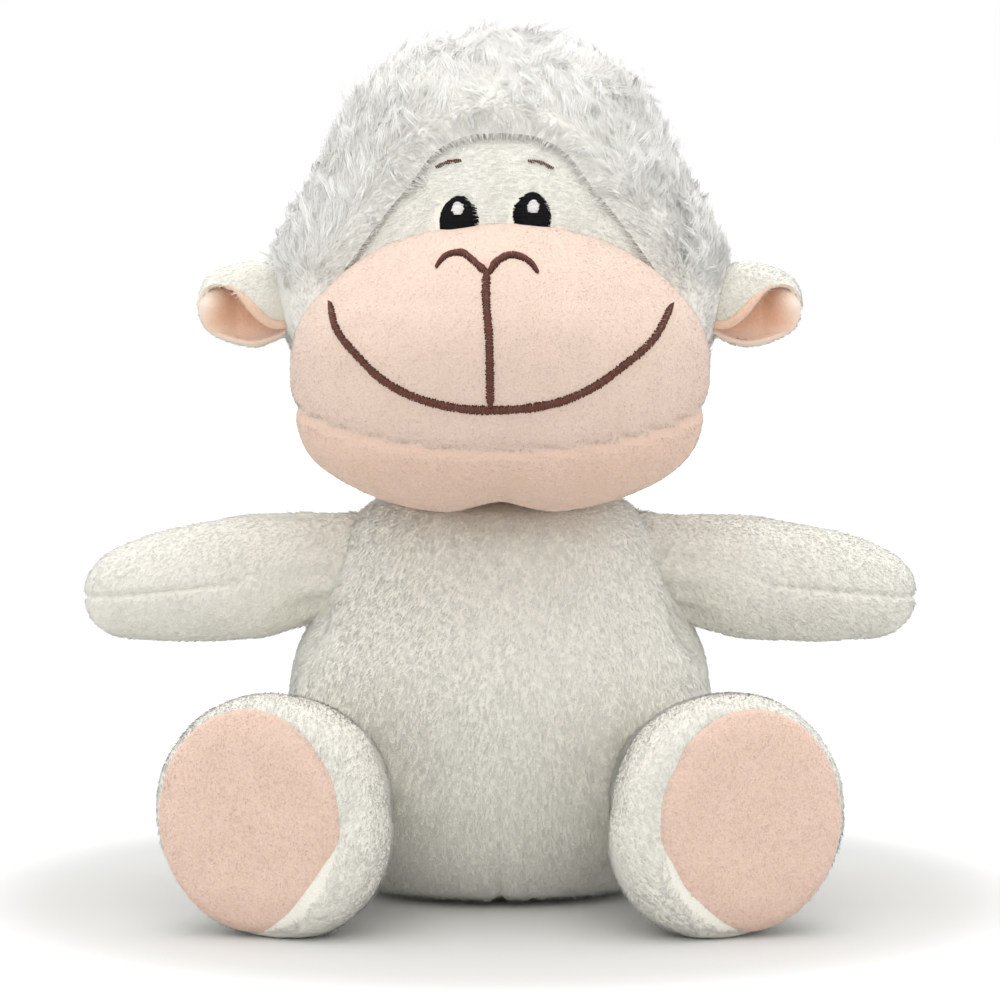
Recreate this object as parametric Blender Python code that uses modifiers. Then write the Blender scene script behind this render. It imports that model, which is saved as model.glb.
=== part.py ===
"""Plush sheep, seated, with its arms held out, its legs forward and its ears folded.

Every cover is a thin shell of cloth round its own stuffing. The torso carries the head, two arms and
two legs at sewn seams, and the head carries two ears. Metres, +Z up, face towards -Y. The origin lies
on the floor, under the middle of the whole toy.
"""

import math

import bmesh
import bpy
import numpy as np
from mathutils import Matrix, Vector
from mathutils.bvhtree import BVHTree

MM = 0.001

# Cloth, thread and clearances
COVER_THICK = 1.8 * MM
SEAM_GAP = 0.3 * MM
FLOOR_CUT = 0.5 * MM
OVERRUN = 40 * MM
MERGE_DISTANCE = 0.01 * MM

# Torso, a pear about its own upright axis
TORSO_HALF_WIDTH = 49.4 * MM
TORSO_HALF_DEPTH = 44 * MM
TORSO_HEIGHT = 92.6 * MM
NECK_HALF_WIDTH = 16 * MM
TORSO_OUTLINE_SHARES = (
    (0.55, 0.0), (0.76, 0.033), (0.9, 0.125), (0.985, 0.27), (1.0, 0.4), (0.995, 0.505),
    (0.965, 0.59), (0.9, 0.675), (0.83, 0.75), (0.775, 0.825), (0.725, 0.9), (0.62, 0.965), (0.48, 0.995),
)

# Head, in its stuffed skull, its wool and its muzzle
SKULL_HALF_WIDTH = 45 * MM
SKULL_HALF_DEPTH = 41 * MM
SKULL_HALF_HEIGHT = 50 * MM
SKULL_LOW_HALF_HEIGHT = 46 * MM
SKULL_FORWARD = -3 * MM
NECK_REST = 0.8 * MM
WOOL_SIDE_PILE = 9 * MM
WOOL_FRONT_PILE = 2 * MM
WOOL_BACK_PILE = 12 * MM
WOOL_TOP_PILE = 9.4 * MM
WOOL_LOW_PILE = 2.2 * MM
WOOL_RISE = 6.8 * MM
MUZZLE_HALF_WIDTH = 47.3 * MM
MUZZLE_HALF_DEPTH = 38 * MM
MUZZLE_HALF_HEIGHT = 32 * MM
MUZZLE_FORWARD_SHARE = 0.805
MUZZLE_TOP_SHARE = 0.32
SKULL_POWER = 2.0
WOOL_POWER = 2.05
WOOL_TAPER_SHARE = 0.135
MUZZLE_TOP_POWER = 1.9
MUZZLE_LOW_POWER = 2.5
MUZZLE_FULL_BELOW_SHARE = 0.5
CHIN_NOTCH_DEPTH = 2.6 * MM
CHIN_NOTCH_HALF_WIDTH = 8 * MM
CHIN_SEAM_DROP = 17 * MM
CHIN_SEAM_RISE = 8 * MM
CHIN_SEAM_SIDES = 16
CHIN_BACK_SHARE = 0.68

# The forehead panel, from its top down one side, in shares of the skull's half width and half height
FACE_BACK_SHARE = 0.25
HAIRLINE_SHARES = (
    (0.0, 0.72), (0.17, 0.705), (0.33, 0.63), (0.44, 0.5), (0.56, 0.37), (0.7, 0.2), (0.82, 0.03),
    (0.86, -0.2),
)

# Stitching
STITCH_HALF_WIDTH = 0.9 * MM
BROW_HALF_WIDTH = 0.5 * MM
EYE_HALF_WIDTH = 4.3 * MM
EYE_HALF_HEIGHT = 5.6 * MM
EYE_THICK = 0.9 * MM
GLINT_HALF_WIDTH = 1.4 * MM
GLINT_THICK = 0.5 * MM
EYE_PLACE_SHARES = {"left": (-0.203, 0.325), "right": (0.16, 0.342)}
GLINT_PLACE_SHARES = {"left": (-0.205, 0.374), "right": (0.163, 0.388)}
BROW_SHARES = {
    "left": ((-0.315, 0.552), (-0.255, 0.574), (-0.195, 0.58)),
    "right": ((0.14, 0.58), (0.2, 0.572), (0.26, 0.545)),
}
SMILE_SHARES = (
    (-0.795, 0.456), (-0.767, 0.31), (-0.655, 0.116), (-0.537, -0.037), (-0.4, -0.14),
    (-0.273, -0.194), (-0.156, -0.222), (-0.027, -0.228), (0.125, -0.216), (0.28, -0.172),
    (0.43, -0.078), (0.57, 0.062), (0.706, 0.222), (0.805, 0.444),
)
NOSTRIL_SHARES = (
    (-0.296, 0.756), (-0.264, 0.81), (-0.218, 0.838), (-0.17, 0.835), (-0.116, 0.778),
    (-0.064, 0.7), (-0.012, 0.775), (0.05, 0.825), (0.11, 0.815), (0.171, 0.725),
)
PHILTRUM_SHARES = ((-0.0645, 0.62), (-0.05, 0.25), (-0.045, -0.15))
STITCH_STEPS = 22
SHORT_STITCH_STEPS = 8

# Arms, straight out to each side
SHOULDER_SIDE_SHARE = 0.81
SHOULDER_RISE_SHARE = 0.8
ARM_REACH = 56.6 * MM
ARM_ROOT = 12 * MM
ARM_HALF_HEIGHT = 14.9 * MM
ARM_HALF_DEPTH = 12.4 * MM
ARM_DROOP = math.radians(6.4)
ARM_OUTLINE_SHARES = (
    (0.84, 0.0), (0.93, 0.15), (1.0, 0.3), (0.985, 0.42), (0.945, 0.55), (0.885, 0.67),
    (0.78, 0.78), (0.63, 0.875), (0.42, 0.95), (0.2, 0.988),
)

# Legs, forward and splayed, each ending in an oval sole
HIP_SIDE_SHARE = 0.79
HIP_FORWARD_SHARE = 0.59
LEG_REACH = 47.5 * MM
LEG_ROOT = 16 * MM
LEG_HALF_HEIGHT = 27.3 * MM
LEG_HALF_WIDTH = 25.8 * MM
LEG_SPLAY = math.radians(18)
LEG_OUTLINE_SHARES = (
    (0.62, 0.0), (0.72, 0.17), (0.8, 0.35), (0.89, 0.52), (0.965, 0.68), (1.0, 0.82), (0.98, 0.93),
    (0.91, 1.0),
)
SOLE_BULGE = 1.6 * MM

# Ears, folded leaves that stand out sideways
EAR_SIDE_SHARE = 0.867
EAR_DROP_SHARE = 0.088
EAR_BACK_SHARE = 0.122
EAR_REACH = 23.7 * MM
EAR_HALF_HEIGHT = 10.6 * MM
EAR_HALF_DEPTH = 6.4 * MM
EAR_THICK = 1.6 * MM
EAR_LINING_THICK = 1.0 * MM
EAR_POCKET = 16 * MM
EAR_SEAT_SHARE = 0.955
EAR_LINING_GAP = 3 * SEAM_GAP
EAR_HEIGHT_SHARES = ((0.0, 0.5), (0.2, 0.85), (0.42, 1.0), (0.6, 0.94), (0.75, 0.82), (0.88, 0.64), (1.0, 0.34))
EAR_LIP_ANGLES = (math.radians(-38), math.radians(40))
EAR_RIM_ANGLE = math.radians(288)
EAR_LINING_SPAN_SHARES = (0.16, 0.82)
EAR_LENGTH_STEPS = 7
EAR_ROUND_STEPS = 10

# Clear angles that let the head nod and the stuffing swing at its seam
NOD_CLEAR = math.radians(10.5)
ARM_SWING_CLEAR = math.radians(30)
LEG_SWING_CLEAR = math.radians(42)
ROOT_CLEAR = 3 * MM

# Facets
ROUND_SIDES = 24
LIMB_SIDES = 18
FORM_RINGS = 12
TORSO_RINGS = 15
LIMB_RINGS = 10
PLATE_SIDES = 16
STITCH_RESOLUTION = 1
SMOOTH_ANGLE = math.radians(50)

# Colours, as linear values
WHITE_PILE = (0.74, 0.71, 0.62, 1.0)
WOOL_WHITE = (0.86, 0.85, 0.8, 1.0)
PEACH_PILE = (0.84, 0.66, 0.54, 1.0)
CHIN_PEACH = (0.68, 0.45, 0.35, 1.0)
SOLE_PEACH = (0.78, 0.53, 0.42, 1.0)
EAR_PEACH = (0.76, 0.43, 0.26, 1.0)
BROWN_THREAD = (0.08, 0.022, 0.014, 1.0)
BLACK_THREAD = (0.006, 0.006, 0.007, 1.0)
WHITE_THREAD = (0.85, 0.85, 0.85, 1.0)
FIBREFILL = (0.8, 0.8, 0.78, 1.0)
CLOTH_ROUGHNESS = 0.92
THREAD_ROUGHNESS = 0.6

SIDES = {"left": -1, "right": 1}


def clear_scene():
    """Start from an empty scene."""
    for obj in list(bpy.data.objects):
        bpy.data.objects.remove(obj, do_unlink=True)


def collection(name):
    """A new collection in the scene."""
    group = bpy.data.collections.new(name)
    bpy.context.scene.collection.children.link(group)
    return group


def material(name, colour, roughness):
    """A plain cloth or thread."""
    mat = bpy.data.materials.new(name)
    mat.use_nodes = True
    shader = mat.node_tree.nodes["Principled BSDF"]
    shader.inputs["Base Color"].default_value = colour
    shader.inputs["Roughness"].default_value = roughness
    shader.inputs["Metallic"].default_value = 0.0
    return mat


def smooth_line(points, shares):
    """Points at the given shares of the length of a smooth line through the points."""
    line = np.array(points, dtype=float)
    steps = np.linalg.norm(np.diff(line, axis=0), axis=1)
    knots = np.concatenate(([0.0], np.cumsum(steps)))
    slopes = np.gradient(line, knots, axis=0)
    at = np.clip(np.asarray(shares, dtype=float), 0.0, 1.0) * knots[-1]
    i = np.clip(np.searchsorted(knots, at, side="right") - 1, 0, len(knots) - 2)
    width = (knots[i + 1] - knots[i])[:, None]
    t = (at - knots[i])[:, None] / width
    start = (2 * t**3 - 3 * t**2 + 1) * line[i] + (t**3 - 2 * t**2 + t) * width * slopes[i]
    end = (3 * t**2 - 2 * t**3) * line[i + 1] + (t**3 - t**2) * width * slopes[i + 1]
    return start + end


def face_outwards(bm):
    """Turn the faces of a form about its own middle so that they point away from it."""
    bmesh.ops.recalc_face_normals(bm, faces=bm.faces)
    middle = sum((v.co for v in bm.verts), Vector()) / len(bm.verts)
    outward = sum(f.normal.dot(f.calc_center_median() - middle) * f.calc_area() for f in bm.faces)
    if outward < 0:
        bmesh.ops.reverse_faces(bm, faces=bm.faces)


def turned(outline, sides, depth_share):
    """A form turned about +Z from (radius, height) points, then flattened front to back."""
    bm = bmesh.new()
    row = [bm.verts.new((radius, 0.0, height)) for radius, height in outline]
    edges = [bm.edges.new(pair) for pair in zip(row, row[1:])]
    bmesh.ops.spin(
        bm, geom=row + edges, axis=(0, 0, 1), cent=(0, 0, 0), angle=math.tau, steps=sides,
        use_duplicate=False,
    )
    bmesh.ops.remove_doubles(bm, verts=bm.verts, dist=MERGE_DISTANCE)
    bmesh.ops.dissolve_degenerate(bm, edges=bm.edges, dist=MERGE_DISTANCE)
    bmesh.ops.scale(bm, vec=(1, depth_share, 1), verts=bm.verts)
    face_outwards(bm)
    return bm


def inflate(bm, distance):
    """Move every point of a form along its normal."""
    bm.normal_update()
    moves = [(v, v.normal * distance) for v in bm.verts]
    for v, move in moves:
        v.co += move
    return bm


def swollen(centre, half_sizes, power_at, rings=FORM_RINGS):
    """A closed form between an ellipsoid and a box: power(direction) is 2 for an ellipsoid."""
    bm = bmesh.new()
    bmesh.ops.create_uvsphere(bm, u_segments=ROUND_SIDES, v_segments=rings, radius=1.0)
    for v in bm.verts:
        power = power_at(v.co)
        size = sum(abs(c) ** power for c in v.co) ** (1 / power)
        v.co = centre + Vector(c / size * half for c, half in zip(v.co, half_sizes))
    face_outwards(bm)
    return bm


def stretch_below(bm, level, share):
    """Make a form shallower or deeper below a level."""
    for v in bm.verts:
        if v.co.z < level:
            v.co.z = level + (v.co.z - level) * share


def torso_outline():
    """The torso's (half width, height) points, from the neck down, without the points on its axis."""
    shares = smooth_line(TORSO_OUTLINE_SHARES, np.linspace(0, 1, TORSO_RINGS))
    body = [(w * TORSO_HALF_WIDTH, h * TORSO_HEIGHT) for w, h in shares]
    body[0] = (body[0][0], -FLOOR_CUT)
    return [(NECK_HALF_WIDTH, TORSO_HEIGHT)] + body[::-1]


def torso_form(opened=False):
    """The torso's outer form, open at the neck or closed all over."""
    outline = torso_outline() + [(0.0, -FLOOR_CUT)]
    if not opened:
        outline = [(0.0, TORSO_HEIGHT)] + outline
    return turned(outline, ROUND_SIDES, TORSO_HALF_DEPTH / TORSO_HALF_WIDTH)


def skull_centre():
    """Middle of the skull, which rests on the torso's neck."""
    return Vector((0.0, -SKULL_FORWARD, TORSO_HEIGHT + NECK_REST + SKULL_LOW_HALF_HEIGHT))


def skull_form():
    """The stuffed skull."""
    sizes = (SKULL_HALF_WIDTH, SKULL_HALF_DEPTH, SKULL_HALF_HEIGHT)
    bm = swollen(skull_centre(), sizes, lambda way: SKULL_POWER)
    stretch_below(bm, skull_centre().z, SKULL_LOW_HALF_HEIGHT / SKULL_HALF_HEIGHT)
    return bm


def wool_half_width():
    """Half the width of the head, wool included."""
    return SKULL_HALF_WIDTH + WOOL_SIDE_PILE


def wool_form():
    """Outside of the wool, at the tips of its pile, drawn in at the sides above its middle."""
    back = (WOOL_BACK_PILE - WOOL_FRONT_PILE) / 2
    centre = skull_centre() + Vector((0.0, back, WOOL_RISE))
    half_height = SKULL_HALF_HEIGHT + WOOL_TOP_PILE - WOOL_RISE
    low_half_height = SKULL_LOW_HALF_HEIGHT + WOOL_LOW_PILE + WOOL_RISE
    sizes = (wool_half_width(), SKULL_HALF_DEPTH + WOOL_FRONT_PILE + back, half_height)
    bm = swollen(centre, sizes, lambda way: WOOL_POWER)
    for v in bm.verts:
        rise_share = min(max((v.co.z - centre.z) / half_height, 0.0), 1.0)
        v.co.x *= 1 - WOOL_TAPER_SHARE * math.sin(math.pi * rise_share)
    stretch_below(bm, centre.z, low_half_height / half_height)
    return bm


def muzzle_centre():
    """Middle of the muzzle."""
    forward = SKULL_HALF_DEPTH * MUZZLE_FORWARD_SHARE
    top = SKULL_HALF_HEIGHT * MUZZLE_TOP_SHARE
    return skull_centre() + Vector((0.0, -forward, top - MUZZLE_HALF_HEIGHT))


def muzzle_power(way):
    """Rounder above, and fuller below where the two lobes hang."""
    low = min(max(MUZZLE_FULL_BELOW_SHARE - way.z, 0.0), 1.0)
    return MUZZLE_TOP_POWER + (MUZZLE_LOW_POWER - MUZZLE_TOP_POWER) * low


def muzzle_form():
    """The puffed muzzle and chin, with a shallow notch between the two lobes."""
    centre = muzzle_centre()
    sizes = (MUZZLE_HALF_WIDTH, MUZZLE_HALF_DEPTH, MUZZLE_HALF_HEIGHT)
    bm = swollen(centre, sizes, muzzle_power)
    for v in bm.verts:
        depth = max(0.0, (centre.z - v.co.z) / MUZZLE_HALF_HEIGHT)
        across = (v.co.x / CHIN_NOTCH_HALF_WIDTH) ** 2
        v.co.z += CHIN_NOTCH_DEPTH * math.exp(-across) * depth**3
    return bm


def inset_outline(outline):
    """The points of an outline that runs along +Z, moved in by the cloth and its gap."""
    inset = COVER_THICK + SEAM_GAP
    runs = np.diff(np.array(outline), axis=0)
    ways = runs / np.linalg.norm(runs, axis=1)[:, None]
    befores = np.vstack((ways[:1], ways))
    afters = np.vstack((ways, ways[-1:]))
    inner = []
    for (radius, along), before, after in zip(outline, befores, afters):
        rise, run = (before + after) / np.linalg.norm(before + after)
        inner.append((radius - inset * run, along + inset * rise))
    return inner


def core_outline(outline, clear_angle):
    """Outline of a limb's stuffing: inside the cover, and a cone at the seam so that it can swing."""
    core = [(0.0, ROOT_CLEAR)]
    for radius, along in inset_outline(outline):
        if along > 2 * ROOT_CLEAR:
            core.append((min(radius, along * math.tan(clear_angle)), along))
    return core


def core_depth_share(half_depth, half_height):
    """How far a limb's stuffing is flattened, inside its flattened cover."""
    inset = COVER_THICK + SEAM_GAP
    return (half_depth - inset) / (half_height - inset)


def arm_outline():
    """The arm's (half height, distance) points from inside the torso to near the tip."""
    shares = smooth_line(ARM_OUTLINE_SHARES, np.linspace(0, 1, LIMB_RINGS))
    outline = [(h * ARM_HALF_HEIGHT, s * ARM_REACH) for h, s in shares]
    return [(outline[0][0], -ARM_ROOT)] + outline


def leg_outline():
    """The leg's (half height, distance) points from inside the torso to the edge of the sole."""
    shares = smooth_line(LEG_OUTLINE_SHARES, np.linspace(0, 1, LIMB_RINGS))
    outline = [(h * LEG_HALF_HEIGHT, s * LEG_REACH) for h, s in shares]
    return [(outline[0][0], -LEG_ROOT)] + outline


def arm_place(side):
    """Where an arm's own +Z runs out to its tip and its +X points up, on its shoulder."""
    sign = SIDES[side]
    reach = Vector((sign * math.cos(ARM_DROOP), 0.0, -math.sin(ARM_DROOP)))
    shoulder = (sign * TORSO_HALF_WIDTH * SHOULDER_SIDE_SHARE, 0.0, TORSO_HEIGHT * SHOULDER_RISE_SHARE)
    return limb_place(reach, Vector(shoulder))


def hip(side):
    """The point that a leg swings about."""
    out = SIDES[side] * TORSO_HALF_WIDTH * HIP_SIDE_SHARE
    return Vector((out, -TORSO_HALF_DEPTH * HIP_FORWARD_SHARE, LEG_HALF_HEIGHT - FLOOR_CUT))


def leg_way(side):
    """The way that a leg points."""
    return Vector((SIDES[side] * math.sin(LEG_SPLAY), -math.cos(LEG_SPLAY), 0.0))


def limb_place(reach, root):
    """A frame at the root with +Z along the limb and +X as near to upright as that leaves."""
    up = (Vector((0, 0, 1)) - reach * reach.z).normalized()
    across = reach.cross(up)
    turn = Matrix((up, across, reach)).transposed().to_4x4()
    return Matrix.Translation(root) @ turn


def ear_root(side):
    """The point that an ear flaps about."""
    out = SIDES[side] * wool_half_width() * EAR_SIDE_SHARE
    rise = skull_centre().z - SKULL_HALF_HEIGHT * EAR_DROP_SHARE
    return Vector((out, SKULL_HALF_DEPTH * EAR_BACK_SHARE, rise))


def ear_sheet(side, inset, span_shares):
    """A folded leaf: its cross section runs from the lip over the top and the back to the lower rim."""
    bm = bmesh.new()
    bmesh.ops.create_grid(bm, x_segments=EAR_LENGTH_STEPS, y_segments=EAR_ROUND_STEPS, size=0.5)
    root = ear_root(side)
    first, last = span_shares
    for v in bm.verts:
        along = first + (last - first) * (v.co.x + 0.5)
        height_share = np.interp(along, *zip(*EAR_HEIGHT_SHARES))
        lip = EAR_LIP_ANGLES[0] + (EAR_LIP_ANGLES[1] - EAR_LIP_ANGLES[0]) * along
        angle = lip + (EAR_RIM_ANGLE - lip) * (v.co.y + 0.5)
        tall = EAR_HALF_HEIGHT * height_share - inset
        deep = EAR_HALF_DEPTH * height_share ** 0.5 - inset
        v.co = root + Vector((
            SIDES[side] * EAR_REACH * along,
            -deep * math.cos(angle),
            tall * math.sin(angle),
        ))
    middle = sum((v.co for v in bm.verts), Vector()) / len(bm.verts)
    bm.normal_update()
    if sum(f.normal.dot(f.calc_center_median() - middle) for f in bm.faces) < 0:
        bmesh.ops.reverse_faces(bm, faces=bm.faces)
    return bm


def dome(half_width, half_height, thick):
    """A low dome on its flat back, with +Z out of its face and +Y up."""
    bm = bmesh.new()
    bmesh.ops.create_uvsphere(bm, u_segments=PLATE_SIDES, v_segments=PLATE_SIDES // 2, radius=1.0)
    bmesh.ops.scale(bm, vec=(half_width, half_height, thick), verts=bm.verts)
    geom = bm.verts[:] + bm.edges[:] + bm.faces[:]
    bmesh.ops.bisect_plane(bm, geom=geom, plane_co=(0, 0, 0), plane_no=(0, 0, 1), clear_inner=True)
    bmesh.ops.holes_fill(bm, edges=[e for e in bm.edges if e.is_boundary])
    face_outwards(bm)
    return bm


class Workshop:
    """Makes the objects, and keeps the pivots, the cutters and the materials."""

    def __init__(self):
        clear_scene()
        self.pieces = collection("plush_sheep")
        self.cutters = collection("cutters")
        self.root = bpy.data.objects.new("sheep", None)
        self.pieces.objects.link(self.root)
        self.pivots = {}

    def pivot(self, name, place, parent="torso"):
        """An empty on a joint's axis."""
        empty = bpy.data.objects.new(name + "_pivot", None)
        carrier = self.pivots[parent] if parent in self.pivots else self.root
        empty.parent = carrier
        empty.location = place - self.place_of(carrier)
        self.pieces.objects.link(empty)
        self.pivots[name] = empty
        return empty

    def place_of(self, empty):
        """Where an empty stands, before the whole toy is set over its origin."""
        place = Vector()
        while empty is not None:
            place += empty.location
            empty = empty.parent
        return place

    def to_object(self, name, bm, body=None):
        """An object from a form in the toy's own frame, on its body's pivot."""
        mesh = bpy.data.meshes.new(name)
        carrier = self.pivots[body] if body in self.pivots else self.root
        bm.transform(Matrix.Translation(-self.place_of(carrier)))
        bm.to_mesh(mesh)
        bm.free()
        mesh.shade_smooth()
        mesh.set_sharp_from_angle(angle=SMOOTH_ANGLE)
        obj = bpy.data.objects.new(name, mesh)
        obj.parent = carrier
        return obj

    def piece(self, name, bm, look, body=None):
        """A sub-part of the toy."""
        obj = self.to_object(name, bm, body)
        obj.data.materials.append(look)
        self.pieces.objects.link(obj)
        return obj

    def cutter(self, name, bm):
        """A hidden form that only cuts."""
        obj = self.to_object(name, bm)
        obj.display_type = "WIRE"
        obj.hide_render = True
        self.cutters.objects.link(obj)
        return obj


def thicken(obj, thick):
    """Give an open surface its cloth, inwards."""
    solid = obj.modifiers.new("cloth", "SOLIDIFY")
    solid.thickness = thick
    solid.offset = -1.0


def cut(obj, cutter, operation="DIFFERENCE"):
    """Cut an object with another."""
    boolean = obj.modifiers.new(operation.lower(), "BOOLEAN")
    boolean.operation = operation
    boolean.object = cutter
    boolean.solver = "EXACT"


def box(low, high):
    """A box between two corners."""
    bm = bmesh.new()
    bmesh.ops.create_cube(bm, size=1.0)
    middle = (Vector(low) + Vector(high)) / 2
    size = Vector(high) - Vector(low)
    for v in bm.verts:
        v.co = middle + Vector(c * s for c, s in zip(v.co, size))
    return bm


def prism(outline, back, front):
    """An outline of (x, z) points made solid from back to front along Y."""
    bm = bmesh.new()
    ring = [bm.verts.new((x, back, z)) for x, z in outline]
    face = bm.faces.new(ring)
    pushed = bmesh.ops.extrude_face_region(bm, geom=[face])
    moved = [g for g in pushed["geom"] if isinstance(g, bmesh.types.BMVert)]
    bmesh.ops.translate(bm, vec=(0, front - back, 0), verts=moved)
    bmesh.ops.recalc_face_normals(bm, faces=bm.faces)
    return bm


def hairline(shrink):
    """The forehead panel's outline as (x, z) points, drawn in by shrink on every side."""
    centre = skull_centre()
    half = smooth_line(HAIRLINE_SHARES, np.linspace(0, 1, ROUND_SIDES // 2))
    side = [(x * SKULL_HALF_WIDTH, centre.z + z * SKULL_HALF_HEIGHT) for x, z in half]
    side[0] = (0.0, side[0][1] - shrink)
    drawn = [side[0]]
    for x, z in side[1:]:
        drawn.append((x - shrink, z - shrink / 2))
    return drawn + [(-x, z) for x, z in drawn[:0:-1]]


def chin_seam_side(lower):
    """Everything below the chin seam, or everything above it, with half a seam gap between."""
    centre = muzzle_centre()
    half_width = MUZZLE_HALF_WIDTH + OVERRUN
    shift = -SEAM_GAP / 2 if lower else SEAM_GAP / 2
    line = []
    for i in range(CHIN_SEAM_SIDES + 1):
        x = half_width * (2 * i / CHIN_SEAM_SIDES - 1)
        lift = CHIN_SEAM_RISE * min((x / MUZZLE_HALF_WIDTH) ** 2, 1.0)
        line.append((x, centre.z - CHIN_SEAM_DROP + lift + shift))
    reach = MUZZLE_HALF_HEIGHT + OVERRUN
    end = centre.z - reach if lower else centre.z + reach
    outline = line + [(half_width, end), (-half_width, end)]
    return prism(outline, OVERRUN, before_face())


def before_face():
    """A place along Y that lies well in front of the face."""
    return muzzle_centre().y - MUZZLE_HALF_DEPTH - OVERRUN


def look_up(bm):
    """A search tree of a form, for laying stitches on it."""
    bm.normal_update()
    return BVHTree.FromBMesh(bm)


def on_surface(tree, x, z):
    """The point and the normal of a form seen from the front at x and z."""
    start = Vector((x, before_face(), z))
    place, normal, _, _ = tree.ray_cast(start, Vector((0, 1, 0)))
    return place, normal


def stitched(name, points, half_width, tree, lift):
    """A thread laid along (x, z) points, standing clear of the cloth under it, as a mesh."""
    curve = bpy.data.curves.new(name, "CURVE")
    curve.dimensions = "3D"
    curve.bevel_depth = half_width
    curve.bevel_resolution = STITCH_RESOLUTION
    curve.use_fill_caps = True
    spline = curve.splines.new("POLY")
    spline.points.add(len(points) - 1)
    for point, (x, z) in zip(spline.points, points):
        place, normal = on_surface(tree, x, z)
        point.co = (*(place + normal * lift), 1.0)
    obj = bpy.data.objects.new(name, curve)
    bpy.context.scene.collection.objects.link(obj)
    bpy.context.view_layer.update()
    evaluated = obj.evaluated_get(bpy.context.evaluated_depsgraph_get())
    mesh = bpy.data.meshes.new_from_object(evaluated)
    bm = bmesh.new()
    bm.from_mesh(mesh)
    bmesh.ops.remove_doubles(bm, verts=bm.verts, dist=MERGE_DISTANCE)
    bmesh.ops.recalc_face_normals(bm, faces=bm.faces)
    bpy.data.objects.remove(obj, do_unlink=True)
    bpy.data.meshes.remove(mesh)
    return bm


def shared_places(shares, centre, half_width, half_height, steps):
    """A smooth line through shares of a form's half sizes, as (x, z) points."""
    line = smooth_line(shares, np.linspace(0, 1, steps))
    return [(centre.x + x * half_width, centre.z + z * half_height) for x, z in line]


def make_torso(shop, looks):
    """Two halves of the cover, sewn at the middle of the front and the back, round the stuffing."""
    reach = TORSO_HALF_WIDTH + OVERRUN
    floor = shop.cutter("floor", box((-reach, -reach, -reach), (reach, reach, 0.0)))
    low, high = -OVERRUN, TORSO_HEIGHT + OVERRUN
    for side, sign in SIDES.items():
        near, far = sorted((sign * SEAM_GAP / 2, sign * reach))
        half = shop.cutter("torso_half_" + side, box((near, -reach, low), (far, reach, high)))
        cover = shop.piece("torso_cover_" + side, torso_form(opened=True), looks["white_pile"])
        thicken(cover, COVER_THICK)
        cut(cover, half, "INTERSECT")
        cut(cover, floor)
    inner = inset_outline(torso_outline()[::-1])
    base, shoulder = inner[0][1], inner[-1][1]
    plug = NECK_HALF_WIDTH - SEAM_GAP
    filled = [(0.0, base)] + inner + [(plug, shoulder), (plug, TORSO_HEIGHT), (0.0, TORSO_HEIGHT)]
    depth_share = core_depth_share(TORSO_HALF_DEPTH, TORSO_HALF_WIDTH)
    shop.piece("torso_stuffing", turned(filled, ROUND_SIDES, depth_share), looks["fibrefill"])
    return floor


def make_arms(shop, looks, torso_cutter):
    """A cover and its stuffing on each side."""
    depth_share = ARM_HALF_DEPTH / ARM_HALF_HEIGHT
    outline = arm_outline()
    tip = (0.0, ARM_REACH)
    for side in SIDES:
        place = arm_place(side)
        shop.pivot("arm_" + side, place.translation)
        shell = turned(outline + [tip], LIMB_SIDES, depth_share)
        shell.transform(place)
        cover = shop.piece("arm_cover_" + side, shell, looks["white_pile"], "arm_" + side)
        thicken(cover, COVER_THICK)
        cut(cover, torso_cutter)
        core = core_outline(outline, ARM_SWING_CLEAR)
        core.append((0.0, ARM_REACH - COVER_THICK - SEAM_GAP))
        filling = turned(core, LIMB_SIDES, core_depth_share(ARM_HALF_DEPTH, ARM_HALF_HEIGHT))
        filling.transform(place)
        shop.piece("arm_stuffing_" + side, filling, looks["fibrefill"], "arm_" + side)


def make_legs(shop, looks, torso_cutter, floor):
    """A cover, its stuffing and a sole on each side."""
    depth_share = LEG_HALF_WIDTH / LEG_HALF_HEIGHT
    outline = leg_outline()
    rim_radius = outline[-1][0]
    sole_radius = rim_radius - COVER_THICK - SEAM_GAP
    for side in SIDES:
        place = limb_place(leg_way(side), hip(side))
        shop.pivot("leg_" + side, place.translation)
        tube = turned(outline, LIMB_SIDES, depth_share)
        tube.transform(place)
        cover = shop.piece("leg_cover_" + side, tube, looks["white_pile"], "leg_" + side)
        thicken(cover, COVER_THICK)
        cut(cover, torso_cutter)
        cut(cover, floor)
        back = LEG_REACH - COVER_THICK
        plate = [(0.0, back), (sole_radius, back), (sole_radius, LEG_REACH)]
        plate.append((0.0, LEG_REACH + SOLE_BULGE))
        sole = turned(plate, LIMB_SIDES, depth_share)
        sole.transform(place)
        shop.piece("sole_" + side, sole, looks["sole_peach"], "leg_" + side)
        core = core_outline(outline, LEG_SWING_CLEAR)
        face = back - SEAM_GAP
        core = [spot for spot in core if spot[1] < face]
        core += [(min(core[-1][0], sole_radius), face), (0.0, face)]
        filling = turned(core, LIMB_SIDES, core_depth_share(LEG_HALF_WIDTH, LEG_HALF_HEIGHT))
        filling.transform(place)
        shop.piece("leg_stuffing_" + side, filling, looks["fibrefill"], "leg_" + side)


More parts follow.
